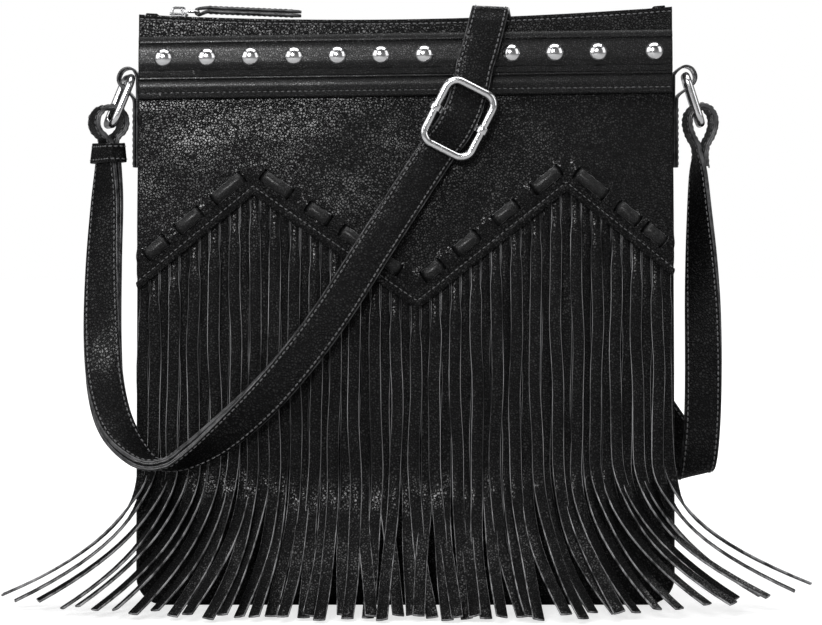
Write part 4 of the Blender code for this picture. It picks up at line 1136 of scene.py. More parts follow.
# Body panels
@dataclass
class BodyPanels:
    """The gusset, the two panels and the lining."""

    shop: Workshop
    repeats: RepeatMaker
    form: BagForm
    layers: Layers
    seam_inset: float = 0.0013
    gusset: float = 0.0015
    flange: float = 0.009
    round_edge: float = 0.0025
    columns: int = 91
    rows: int = 71
    softness: float = 0.0012
    stitch_inset: float = 0.0045
    lining_clear: float = 0.0022
    lining_bend: float = 0.0118
    lining_top: float = 0.2885
    lining: float = 0.0005

    def unevenness(self, x: float, z: float, seed: float) -> float:
        """A soft unevenness of the filled leather, fading towards the seams.

        Args:
            x: Place across the bag.
            z: Height.
            seed: Picks the noise.

        Returns:
            How far the surface stands out there.
        """
        inset = min(self.form.half_width - abs(x), z, self.form.top_z(x) - z)
        share = smoothstep(inset / 0.05)
        wave = noise.noise(Vector((x * 17.0, z * 13.0, seed)))
        fine = noise.noise(Vector((x * 60.0, z * 48.0, seed + 5.0)))
        return self.softness * share * max(-0.15, wave + 0.25 * fine)

    def panel(self, name: str, point: Callable, seed: float, flip: bool) -> bpy.types.Object:
        """One full panel between the gusset's edges.

        Args:
            name: Name of the piece.
            point: The form's front or back surface.
            seed: Picks the noise.
            flip: Turns the faces round.

        Returns:
            The panel.
        """
        half = self.form.half_width - self.seam_inset
        radius = self.form.corner - self.seam_inset
        xs = [half * math.sin(math.pi / 2 * t) for t in spread(-1.0, 1.0, self.columns)]
        rows = []
        for x in xs:
            low = self.form.bottom_z(x, half, radius, self.seam_inset)
            high = self.form.top_z(x) - GAP
            rows.append([point(x, z, self.layers.panel + self.unevenness(x, z, seed))
                         for z in spread(low, high, self.rows)])
        return self.shop.sheet(name, rows, self.layers.leather, self.shop.finishes.cut_body,
                               flip=flip)

    def gusset_rows(self) -> list[Row]:
        """Sections of the strip down the left side, along the base and up the right.

        Returns:
            A row of points for each section.
        """
        corner, half = self.form.corner, self.form.half_width
        top = self.form.top_z(-half) - GAP
        path = [((-half, z), (-1.0, 0.0)) for z in spread(top, corner, 56)]
        for step in range(1, 9):
            angle = math.radians(180.0 + 90.0 * step / 8)
            out = (math.cos(angle), math.sin(angle))
            path.append(((-half + corner + corner * out[0], corner + corner * out[1]), out))
        path += [((x, 0.0), (0.0, -1.0)) for x in spread(-half + corner, 0.0, 25)[1:]]
        rise = self.form.top_z(half) - self.form.top_z(-half)
        right = []
        for (x, z), (out_x, out_z) in path[:-1]:
            share = max(0.0, (z - corner) / (top - corner))
            right.append(((-x, z + rise * share), (-out_x, out_z)))
        return [self.gusset_section(*at, *out) for at, out in path + right[::-1]]

    def gusset_section(self, x: float, z: float, out_x: float, out_z: float) -> Row:
        """The strip's outer section: flange, rounded edge, side, rounded edge, flange.

        Args:
            x: Place of the section across the bag.
            z: Height.
            out_x: Outward direction across the bag.
            out_z: Outward direction up.

        Returns:
            The section's points.
        """
        edge = self.round_edge
        half = []
        for out in (-self.flange, -0.006, -edge - 0.0006):
            half.append((out, 0.0))
        for step in range(0, 5):
            angle = math.radians(90.0 * step / 4)
            half.append((-edge * (1 - math.sin(angle)), edge * (1 - math.cos(angle))))
        deep = self.form.half_depth(z)
        half += [(0.0, edge + (deep - edge) * share) for share in (0.25, 0.5, 0.75)]
        section = []
        for side in (-1.0, 1.0):
            part = []
            for out, inward in half:
                sunk = 0.0
                if out == 0.0 and inward > edge:
                    hollow = math.sin(math.pi / 2 * (inward - edge) / (deep - edge))
                    wave = 0.5 + 0.5 * noise.noise(Vector((x * 9.0, z * 22.0, side)))
                    sunk = 0.0009 * hollow * wave * smoothstep((z - 0.02) / 0.05)
                at_x, at_z = x + out_x * (out - sunk), z + out_z * (out - sunk)
                part.append(Vector((at_x, side * (self.form.half_depth(at_z) - inward), at_z)))
            section += part if side < 0 else part[::-1]
        return section

    def seam_lines(self, point: Callable) -> list[Row]:
        """The stitch line round a panel, inside its edge.

        Args:
            point: The form's front or back surface.

        Returns:
            The line, in a list.
        """
        inset = self.stitch_inset
        half = self.form.half_width - inset
        radius = self.form.corner - inset
        offset = self.layers.panel + self.layers.leather + 0.00008
        line = []
        for z in spread(self.form.top_z(-half) - 0.004, radius + inset, 60):
            line.append(point(-half, z, offset))
        for step in range(1, 9):
            angle = math.radians(180.0 + 90.0 * step / 8)
            line.append(point(-half + radius + radius * math.cos(angle),
                              inset + radius + radius * math.sin(angle), offset))
        line += [point(x, inset, offset) for x in spread(-half + radius, 0.0, 20)[1:]]
        mirrored = [Vector((-p.x, p.y, p.z)) for p in line[:-1]]
        return [line + mirrored[::-1]]

    def lining_rows(self) -> list[Row]:
        """Rings of the inner pouch from its base to the zip.

        Returns:
            A ring of points for each height.
        """
        clear = self.lining_clear
        rows = []
        for z in [self.gusset + clear / 2] + spread(self.lining_bend, self.lining_top, 30):
            deep = self.form.half_depth(z) - clear
            wide = self.form.half_width - clear - max(0.0, self.lining_bend - z)
            ring = rounded_rectangle(wide, deep, min(deep * 0.9, 0.0037), steps=3)
            rows.append([Vector((x, y, z)) for x, y in ring])
        return rows

    def build(self) -> None:
        """Makes and places the body's pieces."""
        looks = self.shop.finishes
        front = self.panel("front_panel_leather", self.form.front, 1.0, True)
        self.shop.place(front, "bag", "front_panel", ("front_panel",))
        back = self.panel("back_panel_leather", self.form.back, 7.0, False)
        self.shop.place(back, "bag", "back_panel", ("back_panel",))
        strip = self.shop.sheet("gusset_leather", self.gusset_rows(), self.gusset,
                                looks.cut_body, side=-1.0, edge=0.0003)
        self.shop.place(strip, "bag", "gusset", ("gusset",))
        rows = self.lining_rows()
        pouch = self.shop.sheet("lining_pouch", rows, self.lining, (looks.lining,), side=-1.0,
                                closed=True, edge=0.0)
        edges = [[Vector((p.x, sign * abs(p.y), p.z)) for p in rows[0][:8]] for sign in (-1, 1)]
        floor = self.shop.sheet("lining_floor", edges, self.lining, (looks.lining,), side=0.0,
                                edge=0.0)
        self.shop.place(pouch, "bag", "lining", ("lining",))
        self.shop.place(floor, "bag", "lining")
        seam = self.repeats.stitches("back_seam_stitches", self.seam_lines(self.form.back))
        self.shop.place(seam, "bag", "back_panel")


# Yoke and lace
@dataclass
class LacedYoke:
    """The upper front with its zigzag hem, and the thong woven through its slits."""

    shop: Workshop
    repeats: RepeatMaker
    form: BagForm
    layers: Layers
    hem: ZigzagHem
    inset: float = 0.0006
    column_step: float = 0.0013
    stitch_above: float = 0.0027
    slit_length: float = 0.0018
    slit_width: float = 0.0071
    pucker: float = 0.0011
    lace_width: float = 0.0063
    lace: float = 0.0010
    lace_bulge: float = 0.0009
    crown: float = 0.0014
    step_run: float = 0.0011
    top_stitch: float = 0.0021
    slit_reach: float = 0.004
    slit_sides: int = 16

    def puckering(self, x: float, z: float) -> float:
        """How far the leather stands up round the slits and dips along the hem's stitches.

        Args:
            x: Place across the bag.
            z: Height.

        Returns:
            How far the surface stands out there.
        """
        raised = 0.0
        for slit_x, shown in self.hem.slits():
            if abs(slit_x - x) > 0.014:
                continue
            along = self.hem.lace_direction(slit_x)
            off = Vector((x - slit_x, 0.0, z - self.hem.lace_z(slit_x)))
            a = -shown * off.dot(along)
            across = abs(off.dot(along.cross(TO_FRONT)))
            lip = math.exp(-((a - 0.0016) / 0.0022) ** 2) * math.exp(-(across / 0.0034) ** 4)
            fan = math.exp(-(off.length / 0.0075) ** 2)
            turn = math.atan2(off.z, off.x + 1e-6)
            folds = 0.5 + 0.5 * math.sin(turn * 7.0 + slit_x * 900.0)
            raised += self.pucker * (lip + 0.45 * fan * folds)
        above = self.hem.above(x, z)
        groove = math.exp(-((above - self.stitch_above) / 0.0007) ** 2)
        ridge = math.exp(-((above - 0.0008) / 0.0009) ** 2)
        swell = 0.35 * math.exp(-((above - 0.0052) / 0.0016) ** 2)
        top = self.form.top_z(x) - z
        seam = math.exp(-((top - self.top_stitch) / 0.0007) ** 2)
        soft = noise.noise(Vector((x * 38.0, z * 34.0, 2.0))) * 0.5 + 0.5
        fade = smoothstep((0.2540 - z) / 0.006) * smoothstep(above / 0.02)
        raised += 0.0008 * (ridge + 0.7 * swell) - 0.0003 * (groove + seam)
        return raised + 0.0010 * soft * fade

    def yoke(self) -> bpy.types.Object:
        """The yoke's sheet with its slits cut.

        Returns:
            The yoke.
        """
        half = self.form.half_width - self.inset
        count = int(2 * half / self.column_step)
        xs = set(round(x, 5) for x in spread(-half, half, count))
        for corner, _ in self.hem.corners[1:-1]:
            nearest = min(xs, key=lambda x: abs(x - corner))
            xs.remove(nearest)
            xs.add(corner)
        near = [0.0, 0.0004, 0.0009, 0.0015, 0.0021, 0.0027, 0.0033, 0.0040, 0.0048]
        near += [0.0058 + 0.0009 * i for i in range(12)] + [0.0175, 0.0200, 0.0235, 0.0265, 0.0300]
        rows = []
        for x in sorted(xs):
            low = self.hem.z(x)
            top = self.form.top_z(x)
            heights = [low + above / self.hem.slope_cos for above in near]
            heights += spread(heights[-1], top - 0.0048, 30)[1:]
            heights += [top - drop for drop in (0.0036, 0.0028, 0.0021, 0.0014, 0.0007, 0.0)]
            base = self.layers.over_panel
            rows.append([self.hem.point(x, z, base + self.puckering(x, z)) for z in heights])
        sheet = self.shop.sheet("yoke_leather", rows, self.layers.leather,
                                self.shop.finishes.cut_body, flip=True)
        cut = sheet.modifiers.new("slits", "BOOLEAN")
        cut.operation = "DIFFERENCE"
        cut.solver = "EXACT"
        cut.material_mode = "TRANSFER"
        cutter = self.slit_cutter()
        cut.object = cutter
        made = self.shop.settle(sheet)
        bpy.data.objects.remove(cutter, do_unlink=True)
        self.shop.shade(made)
        return made

    def slit_cutter(self) -> bpy.types.Object:
        """One mesh of lens-shaped prisms, one at each slit.

        Returns:
            The prisms as one object.
        """
        shape = bmesh.new()
        for slit_x, _ in self.hem.slits():
            along = self.hem.lace_direction(slit_x)
            across = along.cross(TO_FRONT)
            centre = self.hem.point(slit_x, self.hem.lace_z(slit_x),
                                    self.layers.over_panel + self.layers.leather / 2)
            outline = []
            for step in range(self.slit_sides):
                turn = 2 * math.pi * step / self.slit_sides
                u = self.slit_length / 2 * math.copysign(abs(math.cos(turn)) ** 0.6, math.cos(turn))
                v = self.slit_width / 2 * math.copysign(abs(math.sin(turn)) ** 0.6, math.sin(turn))
                outline.append(centre + along * u + across * v)
            low = [shape.verts.new(p - TO_FRONT * self.slit_reach) for p in outline]
            high = [shape.verts.new(p + TO_FRONT * self.slit_reach) for p in outline]
            shape.faces.new(low)
            shape.faces.new(list(reversed(high)))
            for i in range(self.slit_sides):
                after = (i + 1) % self.slit_sides
                shape.faces.new((low[after], low[i], high[i], high[after]))
        bmesh.ops.recalc_face_normals(shape, faces=shape.faces)
        mesh = bpy.data.meshes.new("slit_prisms")
        shape.to_mesh(mesh)
        shape.free()
        mesh.materials.append(self.shop.finishes.raw_edge)
        return self.shop.link("slit_prisms", mesh)

    def lace_offset(self, x: float) -> float:
        """Offset of the lace's middle: outside where it shows, inside elsewhere.

        Args:
            x: Place across the bag.

        Returns:
            The offset from the gusset's flange.
        """
        inside = self.layers.over_panel - GAP - self.lace / 2
        outside = self.layers.over_yoke + self.lace / 2
        share, bulge = 0.0, 0.0
        for low, high in self.hem.shows:
            rise = (x - low + self.step_run) / (2 * self.step_run)
            fall = (high + self.step_run - x) / (2 * self.step_run)
            share = max(share, smoothstep(min(rise, fall)))
            if low < x < high:
                bulge = self.lace_bulge * math.sin(math.pi * (x - low) / (high - low)) ** 0.8
        return inside + (outside - inside) * share + bulge

    def lace_piece(self) -> bpy.types.Object:
        """The thong from the left seam to the right one.

        Returns:
            The thong.
        """
        start = self.hem.shows[0][0] - 0.0035
        end = self.hem.shows[-1][1] + 0.0030
        stations = []
        for x in spread(start, end, 420):
            z = self.hem.lace_z(x)
            along = self.hem.lace_direction(x)
            across = -along.cross(TO_FRONT).normalized()
            centre = self.hem.point(x, z, self.lace_offset(x))
            stations.append((centre, across, TO_FRONT.copy()))
        half, thick = self.lace_width / 2, self.lace / 2

        def section(number: int) -> list:
            """A flat thong with round edges and a slight crown.

            Args:
                number: The station's number.

            Returns:
                The section's points.
            """
            pinch = 1.0 - 0.04 * math.sin(number * 0.9)
            points = []
            for side in (1.0, -1.0):
                for step in spread(-1.0, 1.0, 7):
                    across = side * step * (half - thick * 0.7) * pinch
                    crown = self.crown * (1.0 - step * step) * (1.0 if side < 0 else 0.15)
                    points.append((across, -side * (thick + crown), False))
                edge = side * half * pinch
                points += [(edge - side * thick * 0.2, -side * thick * 0.6, True),
                           (edge, 0.0, True), (edge - side * thick * 0.2, side * thick * 0.6, True)]
            return points

        return self.shop.sweep("lace_thong", stations, section, self.shop.finishes.cut_lace)

    def stitch_lines(self) -> list[Row]:
        """The hem's row, parallel to the zigzag, and the row under the top edge.

        Returns:
            The two lines.
        """
        offset = self.layers.over_panel + self.layers.leather - 0.00002
        half = self.form.half_width - 0.002
        hem_line, top_line = [], []
        for x in spread(-half, half, 330):
            z = self.hem.z(x) + self.stitch_above / self.hem.slope_cos
            hem_line.append(self.hem.point(x, z, offset + self.puckering(x, z)))
            high = self.form.top_z(x) - self.top_stitch
            top_line.append(self.hem.point(x, high, offset + self.puckering(x, high)))
        return [hem_line, top_line]

    def build(self) -> None:
        """Makes and places the yoke, the lace and their stitches."""
        self.shop.place(self.yoke(), "bag", "front_yoke", ("front_yoke",))
        self.shop.place(self.lace_piece(), "bag", "lace", ("lace",))
        rows = self.repeats.stitches("yoke_stitches", self.stitch_lines())
        self.shop.place(rows, "bag", "front_yoke")


# Bands and studs
@dataclass
class StuddedBands:
    """The stud band, the trim band below it, and the row of dome studs."""

    shop: Workshop
    repeats: RepeatMaker
    form: BagForm
    layers: Layers
    inset: float = 0.0008
    stud_bottom: float = 0.2665
    stud_height: float = 0.0183
    stud_band: float = 0.0024
    trim_bottom: float = 0.2555
    trim_band: float = 0.0016
    studs: int = 12
    first_x: float = -0.1214
    pitch: float = 0.0218
    last_x: float = 0.1248
    stud_z: float = 0.2755
    stud_radius: float = 0.0050
    stud_rise: float = 0.0033
    stud_rim: float = 0.0004
    stitch_inset: float = 0.0020
    edge_reaches: tuple = (0.0, 0.0003, 0.0006, 0.0009, 0.0012, 0.0016, 0.0020, 0.0025, 0.0032)

    def band(self, name: str, low: float, high: float, thickness: float,
             pillow: float) -> bpy.types.Object:
        """One band with rounded edges, slightly pillowed between its stitch rows.

        Args:
            name: Name of the piece.
            low: Height of its lower edge.
            high: Height of its upper edge.
            thickness: Thickness of its leather.
            pillow: How far its middle stands up.

        Returns:
            The band.
        """
        half = self.form.half_width - self.inset
        rows = []
        near = [reach / (high - low) for reach in self.edge_reaches]
        shares = near + spread(near[-1], 1.0 - near[-1], 8)[1:-1]
        shares += [1.0 - share for share in reversed(near)]
        for x in spread(-half, half, 160):
            row = []
            for share in shares:
                z = self.form.leaning(x, low + (high - low) * share)
                edge = min(share, 1.0 - share) * (high - low)
                dip = math.exp(-((edge - self.stitch_inset) / 0.0006) ** 2)
                roll = math.exp(-((edge - 0.0008) / 0.0005) ** 2)
                rise = pillow * smoothstep((edge - self.stitch_inset) / 0.0035)
                wave = noise.noise(Vector((x * 45.0, z * 45.0, 11.0))) * 0.5 + 0.5
                offset = self.layers.over_yoke + rise + 0.00025 * wave
                offset += 0.0007 * roll - 0.0005 * dip
                row.append(self.form.front(x, z, offset))
            rows.append(row)
        return self.shop.sheet(name, rows, thickness, (self.shop.finishes.band,) * 2, flip=True,
                               edge=0.0007)

    def row_line(self, nominal: float, thickness: float) -> Row:
        """A stitch line along a band at a nominal height.

        Args:
            nominal: Height on the upright bag.
            thickness: Thickness of the band.

        Returns:
            The line.
        """
        half = self.form.half_width - self.inset - 0.002
        line = []
        for x in spread(-half, half, 200):
            z = self.form.leaning(x, nominal)
            offset = self.layers.over_yoke + thickness + 0.0001
            line.append(self.form.front(x, z, offset))
        return line

    def stud_points(self) -> bpy.types.Mesh:
        """A point for each stud, with the direction that it faces.

        Returns:
            A mesh of points.
        """
        xs = [self.first_x + self.pitch * i for i in range(self.studs - 1)] + [self.last_x]
        offset = self.layers.over_yoke + self.stud_band + GAP + 0.0001
        points, facings = [], []
        for x in xs:
            z = self.form.leaning(x, self.stud_z)
            step = 0.002
            up = self.form.front(x, z + step, offset) - self.form.front(x, z - step, offset)
            right = self.form.front(x + step, z, offset) - self.form.front(x - step, z, offset)
            facings.append(right.cross(up).normalized())
            points.append(self.form.front(x, z, offset))
        mesh = bpy.data.meshes.new("stud_points")
        mesh.from_pydata(points, [], [])
        facing = mesh.attributes.new("facing", "FLOAT_VECTOR", "POINT")
        facing.data.foreach_set("vector", [value for out in facings for value in out])
        return mesh

    def build(self) -> None:
        """Makes and places the bands, their stitches and the studs."""
        top = self.stud_bottom + self.stud_height
        upper = self.band("stud_band_leather", self.stud_bottom, top, self.stud_band, 0.0009)
        self.shop.place(upper, "bag", "stud_band", ("stud_band",))
        lower = self.band("trim_band_leather", self.trim_bottom, self.stud_bottom - GAP,
                          self.trim_band, 0.0005)
        self.shop.place(lower, "bag", "trim_band", ("trim_band",))
        lines = [self.row_line(self.stud_bottom + self.stitch_inset, self.stud_band),
                 self.row_line(top - self.stitch_inset, self.stud_band)]
        upper_rows = self.repeats.stitches("stud_band_stitches", lines)
        self.shop.place(upper_rows, "bag", "stud_band")
        line = self.row_line(self.trim_bottom + self.stitch_inset, self.trim_band)
        lower_rows = self.repeats.stitches("trim_band_stitches", [line])
        self.shop.place(lower_rows, "bag", "trim_band")
        studs = self.repeats.run("dome_studs", self.repeats.stud_tree, self.stud_points(), {
            "Radius": self.stud_radius, "Rise": self.stud_rise, "Rim": self.stud_rim,
            "Finish": self.shop.finishes.chrome})
        names = [f"stud_{number:02d}" for number in range(1, self.studs + 1)]
        self.shop.place(studs, "bag", "stud_01", names)


# Fringe
@dataclass
class Fringe:
    """Leather strands that hang from under the hem and bend out over the floor."""

    shop: Workshop
    form: BagForm
    layers: Layers
    hem: ZigzagHem
    half_width: float = 0.1330
    count: int = 53
    cut: float = 0.0003
    overlap: float = 0.0011
    free: float = 0.012
    header_above: float = 0.0055
    layer_step: float = 0.0016
    flare_height: float = 0.075
    flare_curve: float = 2.26
    flare_left: float = 0.0705
    flare_right: float = 0.0745
    sweep: float = 2.3
    tip_left: float = 0.0010
    tip_right: float = 0.0070
    flare_front: float = 0.052
    wave: float = 0.0011
    lean: float = 0.13
    floor_clearance: float = 0.0006
    cup: float = 0.00022
    edge: float = 0.00026
    seed: int = 41

    def frame_at(self, x_top: float, layer: int, share: float) -> tuple[Vector, Vector]:
        """Middle and width direction of a strand in the flare.

        Args:
            x_top: Where the strand hangs from.
            layer: 0 for the inner layer of strands, 1 for the outer.
            share: 0 where the flare starts, 1 at the tip.

        Returns:
            The middle point and the unit width direction.
        """
        near_side = min(1.0, abs(x_top) / (self.half_width * (1.0 - 1.0 / self.count)))
        spread_out = self.flare_right if x_top > 0.0 else self.flare_left
        free = self.wander(x_top)
        aside = math.copysign(spread_out * near_side ** self.sweep * (1.0 + 0.13 * free), x_top)
        aside += 0.0068 * free * (1.0 - near_side)
        ahead = self.flare_front * (1.0 - near_side ** 6) * (1.0 + 0.12 * self.wander(x_top + 1.0))
        reach = math.hypot(aside, ahead)
        goal = Vector((aside / reach, -ahead / reach, 0.0))
        heading = TO_FRONT.lerp(goal, smoothstep(share / 0.5)).normalized()
        raised = (self.tip_right if x_top > 0.0 else self.tip_left) + 0.0022 * (1.0 + free)
        tip = self.floor_clearance + self.layers.fringe / 2 + self.layer_step
        tip += raised * near_side ** 3
        fall = self.flare_height - tip
        z = self.flare_height - fall * share
        slope = reach * self.flare_curve * share ** (self.flare_curve - 1.0) / fall
        normal = (heading - Vector((0.0, 0.0, slope))).normalized()
        start = self.form.front(x_top, self.flare_height, self.seat)
        middle = Vector((start.x, start.y, z)) + goal * (reach * share ** self.flare_curve)
        wide = Vector((-heading.y, heading.x, 0.0))
        out = abs(wide.y) * (self.half_width / self.count + self.overlap / 2 + 2 * GAP)
        return middle + normal * (self.layer_step * layer) + TO_FRONT * out, wide

    @staticmethod
    def wander(x_top: float) -> float:
        """A strand's own share of freedom, from -1 to 1."""
        return max(-1.0, min(1.0, 2.2 * noise.noise(Vector((x_top * 310.0, 3.7, 1.3)))))

    @property
    def seat(self) -> float:
        """Offset of the strands' middle surface."""
        return self.layers.over_panel + self.layers.fringe / 2

    def rest_of(self, number: int, x_top: float) -> list[tuple]:
        """The line that one strand follows from under the hem to its tip.

        Args:
            number: The strand's number from the left.
            x_top: Where it hangs from.

        Returns:
            Middle, width direction, looseness, share of the flare and width at each row.
        """
        pitch = 2 * self.half_width / self.count
        narrow, full = pitch - self.cut, pitch + self.overlap
        layer = number % 2
        hem = self.hem.z(x_top)
        rows = []
        header = -self.header_above / self.hem.slope_cos
        for below in (header, -0.0012, 0.0, 0.002, 0.004, 0.008, 0.012):
            out = between([0.0, 0.004, self.free], [0.0, 0.1, 1.0], below)
            middle = self.form.front(x_top, hem - below, self.seat + self.layer_step * layer * out)
            rows.append((middle, Vector((1.0, 0.0, 0.0)), 0.0, 0.0, narrow))
        hang = hem - self.free - self.flare_height
        steps = max(4, int(hang / 0.007))
        for share in spread(0.0, 1.0, steps + 1)[1:-1]:
            z = hem - self.free - hang * share
            middle = self.form.front(x_top, z, self.seat + self.layer_step * layer)
            loose = smoothstep(share / 0.5) * 0.8
            width = between([0.0, 0.004], [narrow, full], hang * share)
            rows.append((middle, Vector((1.0, 0.0, 0.0)), loose, 0.0, width))
        for share in spread(0.0, 1.0, 17):
            middle, wide = self.frame_at(x_top, layer, share)
            rows.append((middle, wide, 0.8 + 0.2 * share, share, full))
        return rows

    def build(self) -> None:
        """Makes and places all the strands as one piece."""
        chance = random.Random(self.seed)
        pitch = 2 * self.half_width / self.count
        points, faces = [], []
        for number in range(self.count):
            x_top = -self.half_width + (number + 0.5) * pitch
            phase, tilt, ripple, lean, share = [chance.uniform(low, high) for low, high in (
                (0, 6.3), (-1, 1), (0.5, 1), (-1.0, 1.0), (0.95, 1.0))]
            rows = self.rest_of(number, x_top)
            start = len(points)
            for i, (middle, wide, loose, flare, full) in enumerate(rows):
                width = full * share
                after = rows[min(i + 1, len(rows) - 1)][0] - rows[max(i - 1, 0)][0]
                out = after.cross(wide).normalized()
                sway = math.sin(number * 2.4 + middle.z * 42.0) * self.wave * loose
                sway += 0.0003 * loose * math.sin(middle.z * 120.0 + phase)
                turn = tilt * (0.06 * loose + 0.28 * flare) * math.sin(middle.z * 30.0 + phase)
                turn += self.lean * lean * loose
                across = wide * math.cos(turn) + out * math.sin(turn)
                lift = 0.0004 * ripple * flare * math.sin(middle.z * 95.0 + phase)
                centre = middle + wide * sway + out * lift
                cup, side = out * (self.cup * loose), across * (width / 2)
                points += [centre - side + cup, centre, centre + side + cup]
                if i:
                    for half in (0, 1):
                        a = start + 3 * (i - 1) + half
                        faces.append((a, a + 3, a + 4, a + 1))
        lowest = min(p.z for p in points) - self.layers.fringe / 2
        LOG.info("fringe tips are %.2f mm above the floor", lowest * 1000)
        mesh = bpy.data.meshes.new("fringe_strands")
        mesh.from_pydata(points, [], faces)
        for finish in self.shop.finishes.cut_fringe:
            mesh.materials.append(finish)
        piece = self.shop.link("fringe_strands", mesh)
        solid = piece.modifiers.new("thickness", "SOLIDIFY")
        solid.thickness = self.layers.fringe
        solid.offset = 0.0
        solid.use_even_offset = True
        solid.material_offset_rim = 1
        bevel = piece.modifiers.new("edge", "BEVEL")
        bevel.width = self.edge
        bevel.segments = 1
        bevel.material = 1
        bevel.limit_method = "ANGLE"
        bevel.angle_limit = math.radians(60.0)
        made = self.shop.settle(piece)
        self.shop.shade(made, 45.0)
        self.shop.place(made, "bag", "fringe", ("fringe",))


# Strap
def mm(x: float, y: float, z: float) -> Vector:
    """A point given in millimetres."""
    return Vector((x, y, z)) * 0.001


@dataclass
class Strap:
    """The long strap, its keeper and its slide buckle."""

    shop: Workshop
    repeats: RepeatMaker
    width: float = 0.0186
    thickness: float = 0.0026
    ply_gap: float = 0.0004
    pared: float = 0.0012
    buckle_centre: tuple = (0.0266, -0.0265, 0.2430)
    buckle_angle: float = 27.0
    buckle_half_along: float = 0.0172
    double_route: tuple = (
        (16.0, -21.6, 227.3, 0.0), (6.2, -23.6, 212.5, 0.0), (-14.2, -29.4, 181.0, 0.0),
        (-39.0, -30.4, 142.5, 0.0), (-65.0, -31.6, 110.0, 8.0), (-89.5, -35.2, 87.5, 32.0),
        (-107.5, -38.4, 76.0, 60.0), (-119.5, -39.8, 72.0, 82.0), (-130.5, -39.0, 75.0, 106.0),
        (-142.5, -33.5, 89.0, 140.0), (-149.0, -26.0, 108.0, 164.0), (-151.6, -18.5, 134.0, 186.0),
        (-151.8, -12.0, 168.0, 204.0), (-150.9, -5.4, 200.0, 218.0), (-150.5, -3.0, 218.0, 232.0),
        (-150.3, -2.9, 231.7, 244.0))
    left_loop: tuple = ((2.9, -6.6), (6.0, -3.8), (7.5, 0.2), (7.1, 4.0), (4.7, 7.2), (0.0, 8.8))
    left_loop_twist: float = 250.0
    left_ring_z: float = 0.2408
    right_loop: tuple = ((1.5, -15.3), (2.1, -11.3), (4.8, -6.7), (6.6, -0.8), (6.0, 4.5),
                         (3.6, 7.9), (0.0, 9.2))
    right_hub: tuple = (0.1494, 0.0, 0.2413)
    tail_drop: float = 0.0218
    single_route: tuple = (
        (148.3, -0.8, 216.0, -0.32, 0.95, 0.0), (148.9, -1.6, 195.0, -0.55, 0.83, 0.0),
        (149.8, -3.0, 168.0, -0.80, 0.60, 0.0), (150.4, -4.0, 142.0, -0.95, 0.30, 0.0),
        (150.6, -4.0, 116.0, -0.99, 0.12, 0.0), (150.2, -3.4, 93.0, -1.0, 0.0, 0.0),
        (149.2, -1.6, 76.0, -1.0, 0.0, -0.10), (148.0, 2.4, 66.2, -0.98, 0.0, -0.20),
        (146.9, 9.4, 63.0, -0.97, 0.0, -0.25), (146.0, 18.2, 66.5, -0.96, 0.0, -0.28),
        (142.4, 25.4, 76.5, -0.92, 0.0, -0.38), (131.6, 28.2, 93.0, -0.85, 0.0, -0.52),
        (113.0, 27.8, 120.0, -0.85, 0.0, -0.52), (93.0, 25.2, 155.0, -0.90, 0.0, -0.44),
        (76.0, 22.0, 195.0, -0.94, 0.0, -0.35), (60.5, 18.6, 245.0, -0.955, 0.0, -0.29),
        (49.0, 15.8, 280.0, -0.955, 0.0, -0.29), (45.8, 14.0, 291.0, -0.95, 0.0, -0.29),
        (44.0, 8.6, 297.6, -0.99, 0.10, -0.10), (43.4, 0.0, 298.7, -1.0, 0.0, 0.0),
        (42.8, -9.8, 298.8, -0.995, 0.0, 0.06), (41.8, -15.9, 295.0, -0.98, 0.0, 0.16),
        (39.8, -19.4, 287.6, -0.965, 0.0, 0.26), (37.2, -20.9, 278.0, -0.955, 0.0, 0.30),
        (34.6, -21.8, 269.5, -0.95, 0.0, 0.31))
    over_bar: tuple = ((19.2, -2.6, -4.0), (15.2, -1.8, -3.8), (10.2, -0.8, -1.9), (5.4, -0.1, 0.4),
                       (0.0, 0.0, 1.1), (-5.2, 0.0, 0.3), (-10.2, -0.7, -2.0), (-15.2, -1.9, -3.8))
    round_bar: tuple = ((-15.2, -1.9, -6.8), (-10.2, -0.7, -6.4), (-5.4, -0.1, -5.7),
                        (-1.0, 0.0, -5.4), (2.4, 0.0, -5.1), (4.2, 0.0, -3.7), (3.4, 0.0, -2.0),
                        (1.0, 0.0, -1.45), (-2.0, 0.0, -1.55), (-4.4, 0.0, -2.3))
    keeper_middle: float = 0.2262
    keeper_height: float = 0.0100
    keeper: float = 0.0018
    keeper_clear: float = 0.0007
    stitch_inset: float = 0.0018
    buckle_half_across: float = 0.0129
    buckle_corner: float = 0.0060
    buckle_wire: float = 0.0021
    bar_half_length: float = 0.0122
    bar_width: float = 0.0036
    bar: float = 0.0014
    bar_back: float = 0.0030
    eyelet: float = 0.0006
    eyelet_steps: int = 28

    def twisted(self, along: Vector, degrees: float) -> Vector:
        """Width direction: 0 is flat on the front, 90 edge-on, 180 turned over.

        Args:
            along: Direction of the strap.
            degrees: How far it is turned.

        Returns:
            The width direction.
        """
        flat = Vector((along.z, 0.0, -along.x)).normalized()
        turn = math.radians(degrees)
        return flat * math.cos(turn) + TO_FRONT * math.sin(turn)

    def buckle_axes(self) -> tuple[Vector, Vector, Vector, Vector]:
        """The buckle's centre, its axis along the strap, across it, and out.

        Returns:
            The centre and the three directions.
        """
        turn = math.radians(self.buckle_angle)
        along = Vector((math.sin(turn), 0.0, math.cos(turn)))
        across = Vector((math.cos(turn), 0.0, -math.sin(turn)))
        return Vector(self.buckle_centre), along, across, TO_FRONT.copy()

